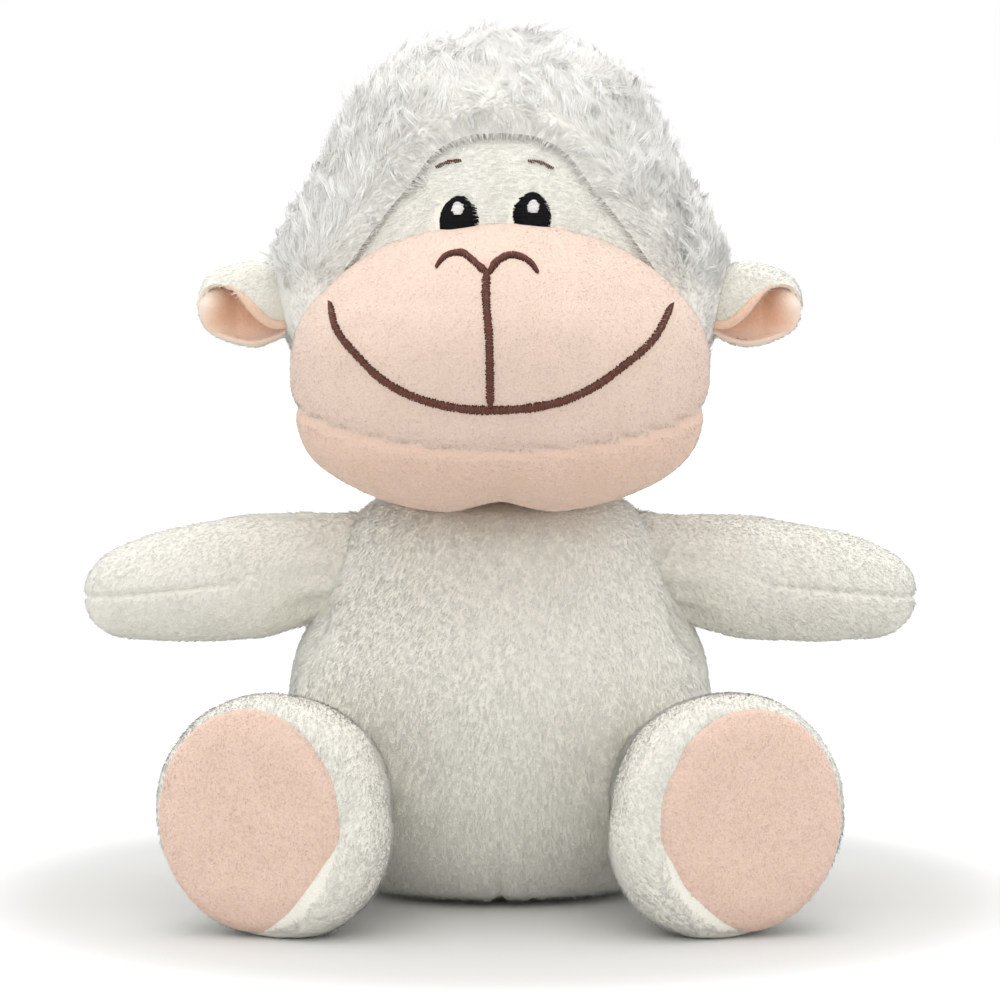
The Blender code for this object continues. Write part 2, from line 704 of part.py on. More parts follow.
def make_head(shop, looks):
    """Wool, forehead, muzzle and chin round one mass of stuffing."""
    skull_in = shop.cutter("skull_inside", inflate(skull_form(), SEAM_GAP))
    face_out = shop.cutter("face_outside", inflate(skull_form(), COVER_THICK + 2 * SEAM_GAP))
    muzzle_out = shop.cutter("muzzle_outside", inflate(muzzle_form(), SEAM_GAP))
    behind = SKULL_HALF_DEPTH * FACE_BACK_SHARE
    before = before_face()
    opening = shop.cutter("face_opening", prism(hairline(0.0), behind, before))
    panel = shop.cutter("face_outline", prism(hairline(SEAM_GAP), behind, before))
    wool = shop.piece("wool_cap", wool_form(), looks["wool"], "head")
    cut(wool, skull_in)
    cut(wool, opening)
    cut(wool, muzzle_out)
    cut(wool, shop.cutter("neck_hole", neck_post(NECK_HALF_WIDTH, OVERRUN / 2)))
    chin_back = shop.cutter("chin_back", neck_post(TORSO_HALF_DEPTH * CHIN_BACK_SHARE, OVERRUN))
    nods = [shop.cutter("torso_nod_" + way, nodded_torso(turn)) for way, turn in nod_ways().items()]
    for nod in nods:
        cut(wool, nod)
    for side in SIDES:
        cut(wool, shop.cutter("ear_pocket_" + side, ear_pocket(side)))
    forehead = inflate(skull_form(), COVER_THICK + SEAM_GAP)
    face = shop.piece("face_panel", forehead, looks["white_pile"], "head")
    cut(face, panel, "INTERSECT")
    cut(face, skull_in)
    cut(face, muzzle_out)
    for name, lower, look in (("muzzle_panel", False, "peach_pile"), ("chin_panel", True, "chin_peach")):
        part = shop.piece(name, muzzle_form(), looks[look], "head")
        muzzle_in = shop.cutter(name + "_inside", inflate(muzzle_form(), -COVER_THICK))
        cut(part, muzzle_in)
        cut(part, face_out)
        seam = shop.cutter(name + "_side", chin_seam_side(lower))
        cut(part, seam, "INTERSECT")
        cut(part, chin_back)
        for nod in nods:
            cut(part, nod)
    stuffing = shop.piece("head_stuffing", skull_form(), looks["fibrefill"], "head")
    inner = shop.cutter("muzzle_stuffing", inflate(muzzle_form(), -(COVER_THICK + SEAM_GAP)))
    cut(stuffing, inner, "UNION")
    for nod in nods:
        cut(stuffing, nod)


def neck_post(radius, rise):
    """A post up through the neck, into the head."""
    post = [(0.0, -rise), (radius, -rise), (radius, rise), (0.0, rise)]
    bm = turned(post, ROUND_SIDES, 1.0)
    bm.transform(Matrix.Translation((0.0, -SKULL_FORWARD, TORSO_HEIGHT)))
    return bm


def nod_ways():
    """How far the torso turns under the head, each way."""
    return {"forward": NOD_CLEAR, "back": -NOD_CLEAR}


def nodded_torso(turn):
    """The torso as it stands under a nodding head."""
    bm = inflate(torso_form(), SEAM_GAP)
    neck = Matrix.Translation((0.0, 0.0, TORSO_HEIGHT))
    bm.transform(neck @ Matrix.Rotation(turn, 4, "X") @ neck.inverted())
    return bm


def ear_pocket(side):
    """The parting in the wool that an ear stands in, wide enough for it to flap."""
    reach = EAR_HALF_DEPTH * EAR_SEAT_SHARE + SEAM_GAP
    bm = bmesh.new()
    bmesh.ops.create_cone(
        bm, cap_ends=True, segments=ROUND_SIDES, radius1=EAR_POCKET, radius2=EAR_POCKET, depth=2 * reach,
    )
    turn = Matrix.Rotation(math.radians(90), 4, "X")
    bm.transform(Matrix.Translation(ear_root(side)) @ turn)
    return bm


def make_ears(shop, looks):
    """An outer leaf and its lining on each side."""
    for side in SIDES:
        body = "ear_" + side
        shop.pivot(body, ear_root(side), "head")
        outer = shop.piece(body + "_outer", ear_sheet(side, 0.0, (0.0, 1.0)), looks["white_pile"], body)
        thicken(outer, EAR_THICK)
        inner = ear_sheet(side, EAR_THICK + EAR_LINING_GAP, EAR_LINING_SPAN_SHARES)
        lining = shop.piece(body + "_lining", inner, looks["ear_peach"], body)
        thicken(lining, EAR_LINING_THICK)


def make_eyes(shop, looks):
    """Embroidered eyes with a glint each, half behind the top of the muzzle, and the brows."""
    tree = look_up(inflate(skull_form(), COVER_THICK + SEAM_GAP))
    centre = skull_centre()
    muzzle = bpy.data.objects["muzzle_outside"]
    for side in SIDES:
        x, z = EYE_PLACE_SHARES[side]
        place, normal = on_surface(tree, x * SKULL_HALF_WIDTH, centre.z + z * SKULL_HALF_HEIGHT)
        turn = limb_place(normal, place)
        stand = Matrix.Rotation(math.radians(-90), 4, "Z")
        patch = dome(EYE_HALF_WIDTH, EYE_HALF_HEIGHT, EYE_THICK)
        patch.transform(Matrix.Translation(normal * SEAM_GAP) @ turn @ stand)
        patch_tree = look_up(patch)
        eye = shop.piece("eye_" + side, patch, looks["black_thread"], "head")
        cut(eye, muzzle)
        x, z = GLINT_PLACE_SHARES[side]
        place, normal = on_surface(patch_tree, x * SKULL_HALF_WIDTH, centre.z + z * SKULL_HALF_HEIGHT)
        spot = dome(GLINT_HALF_WIDTH, GLINT_HALF_WIDTH, GLINT_THICK)
        spot.transform(Matrix.Translation(normal * SEAM_GAP) @ limb_place(normal, place))
        shop.piece("eye_glint_" + side, spot, looks["white_thread"], "head")
        points = shared_places(
            BROW_SHARES[side], Vector((0, 0, centre.z)), SKULL_HALF_WIDTH, SKULL_HALF_HEIGHT,
            SHORT_STITCH_STEPS,
        )
        brow = stitched("brow_" + side, points, BROW_HALF_WIDTH, tree, BROW_HALF_WIDTH + SEAM_GAP)
        shop.piece("brow_" + side, brow, looks["brown_thread"], "head")


def make_mouth(shop, looks):
    """Smile, upper lip line and nostrils in satin stitch."""
    tree = look_up(muzzle_form())
    centre = muzzle_centre()
    lift = STITCH_HALF_WIDTH + SEAM_GAP
    for name, shares, steps in (
        ("smile_stitching", SMILE_SHARES, STITCH_STEPS),
        ("nostril_stitching", NOSTRIL_SHARES, STITCH_STEPS),
        ("lip_stitching", PHILTRUM_SHARES, SHORT_STITCH_STEPS),
    ):
        points = shared_places(shares, centre, MUZZLE_HALF_WIDTH, MUZZLE_HALF_HEIGHT, steps)
        thread = stitched(name, points, STITCH_HALF_WIDTH, tree, lift)
        shop.piece(name, thread, looks["brown_thread"], "head")


def set_over_origin(shop):
    """Stand the whole toy over the origin, front to back."""
    bpy.context.view_layer.update()
    graph = bpy.context.evaluated_depsgraph_get()
    low, high = math.inf, -math.inf
    for obj in shop.pieces.objects:
        if obj.type == "MESH":
            evaluated = obj.evaluated_get(graph)
            reach = [(evaluated.matrix_world @ v.co).y for v in evaluated.data.vertices]
            low, high = min(low, min(reach)), max(high, max(reach))
    shop.root.location.y = -(low + high) / 2
    bpy.context.view_layer.update()


def main():
    """Make the whole toy."""
    shop = Workshop()
    looks = {
        "white_pile": material("white_pile", WHITE_PILE, CLOTH_ROUGHNESS),
        "wool": material("wool", WOOL_WHITE, CLOTH_ROUGHNESS),
        "peach_pile": material("peach_pile", PEACH_PILE, CLOTH_ROUGHNESS),
        "chin_peach": material("chin_peach", CHIN_PEACH, CLOTH_ROUGHNESS),
        "sole_peach": material("sole_peach", SOLE_PEACH, CLOTH_ROUGHNESS),
        "ear_peach": material("ear_peach", EAR_PEACH, CLOTH_ROUGHNESS),
        "brown_thread": material("brown_thread", BROWN_THREAD, THREAD_ROUGHNESS),
        "black_thread": material("black_thread", BLACK_THREAD, THREAD_ROUGHNESS),
        "white_thread": material("white_thread", WHITE_THREAD, THREAD_ROUGHNESS),
        "fibrefill": material("fibrefill", FIBREFILL, CLOTH_ROUGHNESS),
    }
    torso_cutter = shop.cutter("torso_outside", inflate(torso_form(), SEAM_GAP))
    shop.pivot("head", Vector((0.0, 0.0, TORSO_HEIGHT)))
    floor = make_torso(shop, looks)
    make_arms(shop, looks, torso_cutter)
    make_legs(shop, looks, torso_cutter, floor)
    make_head(shop, looks)
    make_ears(shop, looks)
    make_eyes(shop, looks)
    make_mouth(shop, looks)
    set_over_origin(shop)
    for name, empty in shop.pivots.items():
        print(name, [round(c, 6) for c in empty.matrix_world.translation])


main()
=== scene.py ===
"""Plush sheep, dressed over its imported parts: cloth covers, short pile, long wool and embroidery.

Every soft form repeats the sizes of the solid that it stands for, a little drawn in so that its pile
ends where the solid does. Metres, +Z up, face towards -Y.
"""

import math

import bmesh
import bpy
import numpy as np
from mathutils import Matrix, Vector, noise
from mathutils.bvhtree import BVHTree


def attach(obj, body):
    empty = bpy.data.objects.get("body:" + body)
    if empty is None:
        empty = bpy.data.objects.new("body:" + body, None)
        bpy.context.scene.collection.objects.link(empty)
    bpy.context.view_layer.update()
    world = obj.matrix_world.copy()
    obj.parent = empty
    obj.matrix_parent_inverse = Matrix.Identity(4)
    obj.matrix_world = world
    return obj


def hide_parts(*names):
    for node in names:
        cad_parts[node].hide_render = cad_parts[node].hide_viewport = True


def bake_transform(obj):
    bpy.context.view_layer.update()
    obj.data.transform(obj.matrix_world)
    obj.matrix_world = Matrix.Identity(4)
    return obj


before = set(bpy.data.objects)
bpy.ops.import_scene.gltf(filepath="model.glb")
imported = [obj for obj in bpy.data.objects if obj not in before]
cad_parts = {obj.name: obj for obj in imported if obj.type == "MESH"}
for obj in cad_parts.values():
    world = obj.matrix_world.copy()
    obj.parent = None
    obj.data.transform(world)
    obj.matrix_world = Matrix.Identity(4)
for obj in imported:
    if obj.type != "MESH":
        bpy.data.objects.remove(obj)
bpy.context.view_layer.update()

MM = 0.001
AXIS_Y = 11.14 * MM
SIDES = {"left": -1, "right": 1}

# Torso
TORSO_HALF_WIDTH = 49.4 * MM
TORSO_HALF_DEPTH = 44 * MM
TORSO_HEIGHT = 92.6 * MM
TORSO_DEPTH_SHARE = TORSO_HALF_DEPTH / TORSO_HALF_WIDTH
TORSO_SHARES = (
    (0.55, 0.0), (0.76, 0.033), (0.9, 0.125), (0.985, 0.27), (1.0, 0.4), (0.995, 0.505),
    (0.965, 0.59), (0.9, 0.675), (0.83, 0.75), (0.775, 0.825), (0.725, 0.9), (0.62, 0.965), (0.48, 0.995),
)

# Head
SKULL = Vector((45, 41, 50)) * MM
SKULL_LOW = 46 * MM
SKULL_CENTRE = Vector((0, 14.14, 139.4)) * MM
WOOL = Vector((54, 48, 52.6)) * MM
WOOL_LOW = 55 * MM
WOOL_CENTRE = SKULL_CENTRE + Vector((0, 5, 6.8)) * MM
WOOL_POWER = 2.05
WOOL_TAPER_SHARE = 0.135
MUZZLE = Vector((47.3, 38, 32)) * MM
MUZZLE_CENTRE = SKULL_CENTRE + Vector((0, -33.005, -16)) * MM
HAIRLINE_SHARES = (
    (0.0, 0.72), (0.17, 0.705), (0.33, 0.63), (0.44, 0.5), (0.56, 0.37), (0.7, 0.2), (0.82, 0.03),
    (0.86, -0.2),
)

# Arms and legs
ARM_REACH = 56.6 * MM
ARM_HALF_HEIGHT = 14.9 * MM
ARM_DEPTH_SHARE = 12.4 / 14.9
ARM_DROOP = math.radians(6.4)
ARM_ROOT = Vector((40.014, 11.14, 74.08)) * MM
ARM_SHARES = (
    (0.84, 0.0), (0.93, 0.15), (1.0, 0.3), (0.985, 0.42), (0.945, 0.55), (0.885, 0.67),
    (0.78, 0.78), (0.63, 0.875), (0.42, 0.95), (0.2, 0.988), (0.0, 1.0),
)
LEG_REACH = 47.5 * MM
LEG_HALF_HEIGHT = 27.3 * MM
LEG_DEPTH_SHARE = 25.8 / 27.3
LEG_SPLAY = math.radians(18)
LEG_ROOT = Vector((39.026, -14.82, 26.8)) * MM
LEG_SHARES = (
    (0.62, 0.0), (0.72, 0.17), (0.8, 0.35), (0.89, 0.52), (0.965, 0.68), (1.0, 0.82), (0.99, 0.9),
    (0.95, 0.96), (0.88, 0.995), (0.78, 1.01), (0.4, 1.02), (0.0, 1.022),
)
SOLE_HALF = Vector((24.7, 21.3)) * MM
SOLE_SHIFT = Vector((-0.7, -1.4)) * MM

# Ears
EAR_ROOT = Vector((46.818, 16.142, 135.0)) * MM
EAR_REACH = 23.7 * MM
EAR_HALF_HEIGHT = 10.6 * MM
EAR_HALF_DEPTH = 6.4 * MM
EAR_HEIGHT_SHARES = (
    (0.0, 0.5), (0.2, 0.85), (0.42, 1.0), (0.6, 0.94), (0.75, 0.82), (0.88, 0.64), (0.96, 0.44), (1.0, 0.1),
)
EAR_LIP = (math.radians(-42), math.radians(43))
EAR_RIM = math.radians(288)

# Embroidery, in shares of the muzzle's or the skull's half sizes
SMILE_SHARES = (
    (-0.795, 0.456), (-0.767, 0.31), (-0.655, 0.116), (-0.537, -0.037), (-0.4, -0.14),
    (-0.273, -0.194), (-0.156, -0.222), (-0.027, -0.228), (0.125, -0.216), (0.28, -0.172),
    (0.43, -0.078), (0.57, 0.062), (0.706, 0.222), (0.805, 0.444),
)
NOSTRIL_SHARES = {
    "left": (
        (-0.296, 0.72), (-0.279, 0.759), (-0.25, 0.798), (-0.213, 0.815), (-0.176, 0.818), (-0.144, 0.79),
        (-0.112, 0.752), (-0.08, 0.712), (-0.064, 0.688),
    ),
    "right": ((-0.05, 0.69), (-0.012, 0.766), (0.05, 0.806), (0.11, 0.786), (0.147, 0.747), (0.175, 0.688)),
}
LIP_SHARES = ((-0.06, 0.7), (-0.0645, 0.62), (-0.05, 0.25), (-0.045, -0.2))
EYE_SHARES = {"left": (-0.203, 0.325), "right": (0.16, 0.342)}
EYE_HALF = (4.3 * MM, 5.6 * MM)
GLINT_SHARES = {"left": (-0.206, 0.38), "right": (0.162, 0.388)}
GLINT_HALF = (1.75 * MM, 1.4 * MM)
BROW_SHARES = {
    "left": ((-0.315, 0.565), (-0.255, 0.588), (-0.195, 0.595)),
    "right": ((0.14, 0.593), (0.2, 0.586), (0.26, 0.56)),
}

rng = np.random.default_rng(11)


# Forms


def smooth_line(points, shares):
    """Points at the given shares of the length of a smooth line through the points."""
    line = np.array(points, dtype=float)
    steps = np.linalg.norm(np.diff(line, axis=0), axis=1)
    knots = np.concatenate(([0.0], np.cumsum(steps)))
    slopes = np.gradient(line, knots, axis=0)
    at = np.clip(np.asarray(shares, dtype=float), 0.0, 1.0) * knots[-1]
    i = np.clip(np.searchsorted(knots, at, side="right") - 1, 0, len(knots) - 2)
    width = (knots[i + 1] - knots[i])[:, None]
    t = (at - knots[i])[:, None] / width
    start = (2 * t**3 - 3 * t**2 + 1) * line[i] + (t**3 - 2 * t**2 + t) * width * slopes[i]
    end = (3 * t**2 - 2 * t**3) * line[i + 1] + (t**3 - t**2) * width * slopes[i + 1]
    return start + end


def outline_of(shares, half, reach, steps):
    """(radius, distance) points of a spun form."""
    return [(w * half, h * reach) for w, h in smooth_line(shares, np.linspace(0, 1, steps))]


def spun(outline, sides, depth_share, place):
    """A closed form spun about +Z from (radius, height) points, flattened and set in its place."""
    bm = bmesh.new()
    row = [bm.verts.new((radius, 0.0, height)) for radius, height in outline]
    edges = [bm.edges.new(pair) for pair in zip(row, row[1:])]
    bmesh.ops.spin(
        bm, geom=row + edges, axis=(0, 0, 1), cent=(0, 0, 0), angle=math.tau, steps=sides,
        use_merge=True, use_duplicate=False,
    )
    bmesh.ops.remove_doubles(bm, verts=bm.verts, dist=0.01 * MM)
    bmesh.ops.scale(bm, vec=(1, depth_share, 1), verts=bm.verts)
    bmesh.ops.transform(bm, matrix=place, verts=bm.verts)
    return outward(bm)


def outward(bm):
    """Turn a closed form's faces away from its middle."""
    bmesh.ops.recalc_face_normals(bm, faces=bm.faces)
    if bm.calc_volume(signed=True) < 0:
        bmesh.ops.reverse_faces(bm, faces=bm.faces)
    bm.normal_update()
    return bm


def swollen(centre, half, low_half, power_at, segments):
    """A closed form between an ellipsoid and a box, deeper or shallower below its middle."""
    bm = bmesh.new()
    bmesh.ops.create_uvsphere(bm, u_segments=segments, v_segments=segments // 2, radius=1.0)
    for v in bm.verts:
        power = power_at(v.co)
        size = sum(abs(c) ** power for c in v.co) ** (1 / power)
        place = Vector(c / size * h for c, h in zip(v.co, half))
        if place.z < 0:
            place.z *= low_half / half.z
        v.co = centre + place
    return outward(bm)


def moved(bm, reach_at):
    """Move every point of a form along its normal by reach_at(point)."""
    bm.normal_update()
    moves = [(v, v.normal * reach_at(v.co)) for v in bm.verts]
    for v, move in moves:
        v.co += move
    return outward(bm)


def eased(value, low, high):
    """From 0 to 1 between two values, with soft ends."""
    t = np.clip((value - low) / (high - low), 0.0, 1.0)
    return t * t * (3 - 2 * t)


def lumps(co, size, seed=0.0):
    """A soft unevenness from -1 to 1 that repeats about every size metres."""
    return noise.noise(co / size + Vector((seed, seed * 1.7, -seed)))


def facing_along(bm, way):
    """Turn an open sheet's faces the given way."""
    bm.normal_update()
    if sum((f.normal for f in bm.faces), Vector()).dot(way) < 0:
        bmesh.ops.reverse_faces(bm, faces=bm.faces)
    return bm


def thickened(bm, thick):
    """A sheet given its cloth, inwards."""
    mesh = bpy.data.meshes.new("sheet")
    bm.to_mesh(mesh)
    bm.free()
    obj = bpy.data.objects.new("sheet", mesh)
    bpy.context.scene.collection.objects.link(obj)
    solid = obj.modifiers.new("cloth", "SOLIDIFY")
    solid.thickness = thick
    solid.offset = -1.0
    bpy.context.view_layer.update()
    result = bmesh.new()
    result.from_mesh(obj.evaluated_get(bpy.context.evaluated_depsgraph_get()).to_mesh())
    bpy.data.objects.remove(obj, do_unlink=True)
    bpy.data.meshes.remove(mesh)
    return outward(result)


def muzzle_power(way):
    return 1.9 + 0.6 * min(max(0.5 - way.z, 0.0), 1.0)


def chin_seam(x):
    """Height of the chin seam."""
    return MUZZLE_CENTRE.z - 17 * MM + 8 * MM * np.minimum((x / MUZZLE.x) ** 2, 1.0)


def hairline(shrink=0.0):
    """The forehead's outline as (x, z) points, drawn in on every side."""
    half = smooth_line(HAIRLINE_SHARES, np.linspace(0, 1, 24))
    side = [(x * SKULL.x - shrink, SKULL_CENTRE.z + z * SKULL.z - shrink) for x, z in half]
    side[0] = (0.0, side[0][1])
    return side + [(-x, z) for x, z in side[:0:-1]]


def prism(outline, back, front):
    """An outline of (x, z) points made solid from back to front along Y."""
    bm = bmesh.new()
    ring = [bm.verts.new((x, back, z)) for x, z in outline]
    pushed = bmesh.ops.extrude_face_region(bm, geom=[bm.faces.new(ring)])
    ends = [g for g in pushed["geom"] if isinstance(g, bmesh.types.BMVert)]
    bmesh.ops.translate(bm, vec=(0, front - back, 0), verts=ends)
    return outward(bm)


def torso_line(steps=72):
    return outline_of(TORSO_SHARES, TORSO_HALF_WIDTH, TORSO_HEIGHT, steps)


def arm_line(steps=56):
    line = outline_of(ARM_SHARES, ARM_HALF_HEIGHT, ARM_REACH, steps)
    return [(line[0][0], -12 * MM), (line[0][0], -6 * MM)] + line


def leg_line(steps=56):
    line = outline_of(LEG_SHARES, LEG_HALF_HEIGHT, LEG_REACH, steps)
    return [(line[0][0], -16 * MM), (line[0][0], -8 * MM)] + line


def limb_place(reach, root):
    """A frame at the root with +Z along the limb and +X as near to upright as that leaves."""
    up = (Vector((0, 0, 1)) - reach * reach.z).normalized()
    turn = Matrix((up, reach.cross(up), reach)).transposed().to_4x4()
    return Matrix.Translation(root) @ turn


def mirrored(point, side):
    return Vector((SIDES[side] * point.x, point.y, point.z))


def arm_place(side):
    reach = Vector((SIDES[side] * math.cos(ARM_DROOP), 0.0, -math.sin(ARM_DROOP)))
    return limb_place(reach, mirrored(ARM_ROOT, side))


def leg_place(side):
    reach = Vector((SIDES[side] * math.sin(LEG_SPLAY), -math.cos(LEG_SPLAY), 0.0))
    return limb_place(reach, mirrored(LEG_ROOT, side))


TORSO_PLACE = Matrix.Translation((0, AXIS_Y, 0))


def share_of_spun(points, line, depth_share, place):
    """How far out each point lies, as a share of a spun form's radius there; above 1 is outside."""
    inverse = np.array(place.inverted())
    own = points @ inverse[:3, :3].T + inverse[:3, 3]
    radii, heights = np.array(line).T
    order = np.argsort(heights, kind="stable")
    radius = np.interp(own[:, 2], heights[order], radii[order])
    out = np.hypot(own[:, 0], own[:, 1] / depth_share) / np.maximum(radius, 0.1 * MM)
    beyond = (own[:, 2] < heights.min()) | (own[:, 2] > heights.max())
    return np.where(beyond, 9.0, out)


def share_of_swollen(points, centre, half, low_half, power):
    """How far out each point lies, as a share of a swollen form's reach that way."""
    own = points - np.array(centre)
    reach = np.where(own[:, 2:3] < 0, low_half / half.z, 1.0) * half.z
    scaled = np.abs(np.hstack((own[:, :2] / np.array(half[:2]), own[:, 2:3] / reach)))
    return np.sum(scaled**power, axis=1) ** (1 / power)


def in_torso(points):
    return share_of_spun(points, torso_line(), TORSO_DEPTH_SHARE, TORSO_PLACE)


def in_limbs(points, line, depth_share, place_at):
    shares = [share_of_spun(points, line, depth_share, place_at(side)) for side in SIDES]
    return np.minimum(*shares)


def in_skull(points):
    return share_of_swollen(points, SKULL_CENTRE, SKULL, SKULL_LOW, 2.0)


def wool_width_share(height):
    """How far the wool is drawn in at its sides, above its middle."""
    rise = np.clip((height - WOOL_CENTRE.z) / WOOL.z, 0.0, 1.0)
    return 1 - WOOL_TAPER_SHARE * np.sin(math.pi * rise)


def in_muzzle(points):
    return share_of_swollen(points, MUZZLE_CENTRE, MUZZLE, MUZZLE.z, 2.2)


# Objects


def keep(name, bm, look, body, creased=True):
    """A finished piece from a form, in its place, smooth but for the edges where it is cut."""
    for f in bm.faces:
        f.smooth = True
    if creased:
        for e in bm.edges:
            e.smooth = e.calc_face_angle(0.0) < math.radians(50)
    mesh = bpy.data.meshes.new(name)
    bm.to_mesh(mesh)
    bm.free()
    mesh.materials.append(look)
    obj = bpy.data.objects.new(name, mesh)
    bpy.context.scene.collection.objects.link(obj)
    if body:
        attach(obj, body)
    return obj


def cut_form(bm, cutter, operation):
    """A form cut with another."""
    pair = []
    for form in (bm, cutter):
        mesh = bpy.data.meshes.new("cutting")
        form.to_mesh(mesh)
        form.free()
        obj = bpy.data.objects.new("cutting", mesh)
        bpy.context.scene.collection.objects.link(obj)
        pair.append(obj)
    boolean = pair[0].modifiers.new("cut", "BOOLEAN")
    boolean.operation = operation
    boolean.object = pair[1]
    boolean.solver = "EXACT"
    bpy.context.view_layer.update()
    evaluated = pair[0].evaluated_get(bpy.context.evaluated_depsgraph_get())
    result = bmesh.new()
    result.from_mesh(evaluated.to_mesh())
    for obj in pair:
        mesh = obj.data
        bpy.data.objects.remove(obj, do_unlink=True)
        bpy.data.meshes.remove(mesh)
    return result


def ring(sides):
    """A closed ring that strands and threads are drawn with."""
    name = f"strand_ring_{sides}"
    if name not in bpy.data.objects:
        curve = bpy.data.curves.new(name, "CURVE")
        curve.dimensions = "2D"
        spline = curve.splines.new("POLY")
        spline.points.add(sides - 1)
        spline.use_cyclic_u = True
        for i, point in enumerate(spline.points):
            angle = math.tau * i / sides
            point.co = (math.cos(angle), math.sin(angle), 0, 1)
        bpy.context.scene.collection.objects.link(bpy.data.objects.new(name, curve))
    return bpy.data.objects[name]


def mark(mesh, label, values):
    """Keep a value for each point, which the materials read."""
    layer = mesh.attributes.new(label, "FLOAT", "POINT")
    layer.data.foreach_set("value", np.ascontiguousarray(values, np.float32))


def strands(name, lines, radii, look, body, sides=3, pointed=True, facing=None, tint=None, hold=1.0):
    """One piece of many strands, each along its own line, with a map cell each.

    facing gives the way that each strand of a pile takes the light, so that the pile shades as one surface,
    and hold how far it goes by that instead of by its own roundness.
    """
    count, steps = lines.shape[:2]
    curve = bpy.data.curves.new(name, "CURVE")
    curve.dimensions = "3D"
    curve.bevel_mode = "OBJECT"
    curve.bevel_object = ring(sides)
    points = np.ones((count, steps, 4), np.float32)
    points[..., :3] = lines
    radii = np.ascontiguousarray(radii, np.float32)
    for place, radius in zip(points, radii):
        spline = curve.splines.new("POLY")
        spline.points.add(steps - 1)
        spline.points.foreach_set("co", place.ravel())
        spline.points.foreach_set("radius", radius)
    drawn = bpy.data.objects.new(name + "_lines", curve)
    bpy.context.scene.collection.objects.link(drawn)
    bpy.context.view_layer.update()
    mesh = bpy.data.meshes.new_from_object(drawn.evaluated_get(bpy.context.evaluated_depsgraph_get()))
    bpy.data.objects.remove(drawn, do_unlink=True)
    bpy.data.curves.remove(curve)
    number = np.arange(len(mesh.vertices))
    along = (number // sides % steps) / (steps - 1)
    strand = number // (sides * steps)
    shade = rng.random(count)[strand]
    marked = {"along": along, "shade": shade}
    if tint is not None:
        marked["tint"] = tint[strand]
    for label, values in marked.items():
        mark(mesh, label, values)
    if facing is not None:
        layer = mesh.attributes.new("facing", "FLOAT_VECTOR", "POINT")
        layer.data.foreach_set("vector", facing[strand].astype(np.float32).ravel())
    corners = np.empty(len(mesh.loops), np.int64)
    mesh.loops.foreach_get("vertex_index", corners)
    turn = (corners % sides).reshape(-1, 4).astype(float)
    wraps = (turn.max(axis=1) == sides - 1) & (turn.min(axis=1) == 0)
    turn[wraps] = np.where(turn[wraps] == 0, sides, turn[wraps])
    cells = math.ceil(math.sqrt(count))
    cell = strand[corners]
    across = (cell % cells + 0.12 + 0.76 * turn.ravel() / sides) / cells
    up = (cell // cells + 0.12 + 0.76 * along[corners]) / cells
    layer = mesh.uv_layers.new(name="OFBake")
    layer.data.foreach_set("uv", np.stack((across, up), axis=1).astype(np.float32).ravel())
    bm = bmesh.new()
    bm.from_mesh(mesh)
    bpy.data.meshes.remove(mesh)
    if pointed:
        bm.verts.ensure_lookup_table()
        last = (number // sides % steps) == steps - 1
        tips = [bm.verts[i] for i in number[last]]
        bmesh.ops.remove_doubles(bm, verts=tips, dist=0.0001 * MM)
    bm.faces.ensure_lookup_table()
    first = bm.faces[0]
    if first.normal.dot(first.calc_center_median() - Vector(lines[0, 0])) < 0:
        bmesh.ops.reverse_faces(bm, faces=bm.faces)
    piece = keep(name, bm, look, body, False)
    if facing is not None:
        layer = piece.data.attributes["facing"]
        turned = np.empty(len(piece.data.vertices) * 3, np.float32)
        layer.data.foreach_get("vector", turned)
        piece.data.attributes.remove(layer)
        own = np.empty(len(turned), np.float32)
        piece.data.vertices.foreach_get("normal", own)
        turned = unit(hold * turned.reshape(-1, 3) + (1 - hold) * own.reshape(-1, 3))
        piece.data.normals_split_custom_set_from_vertices(turned.tolist())
    return piece


# Materials


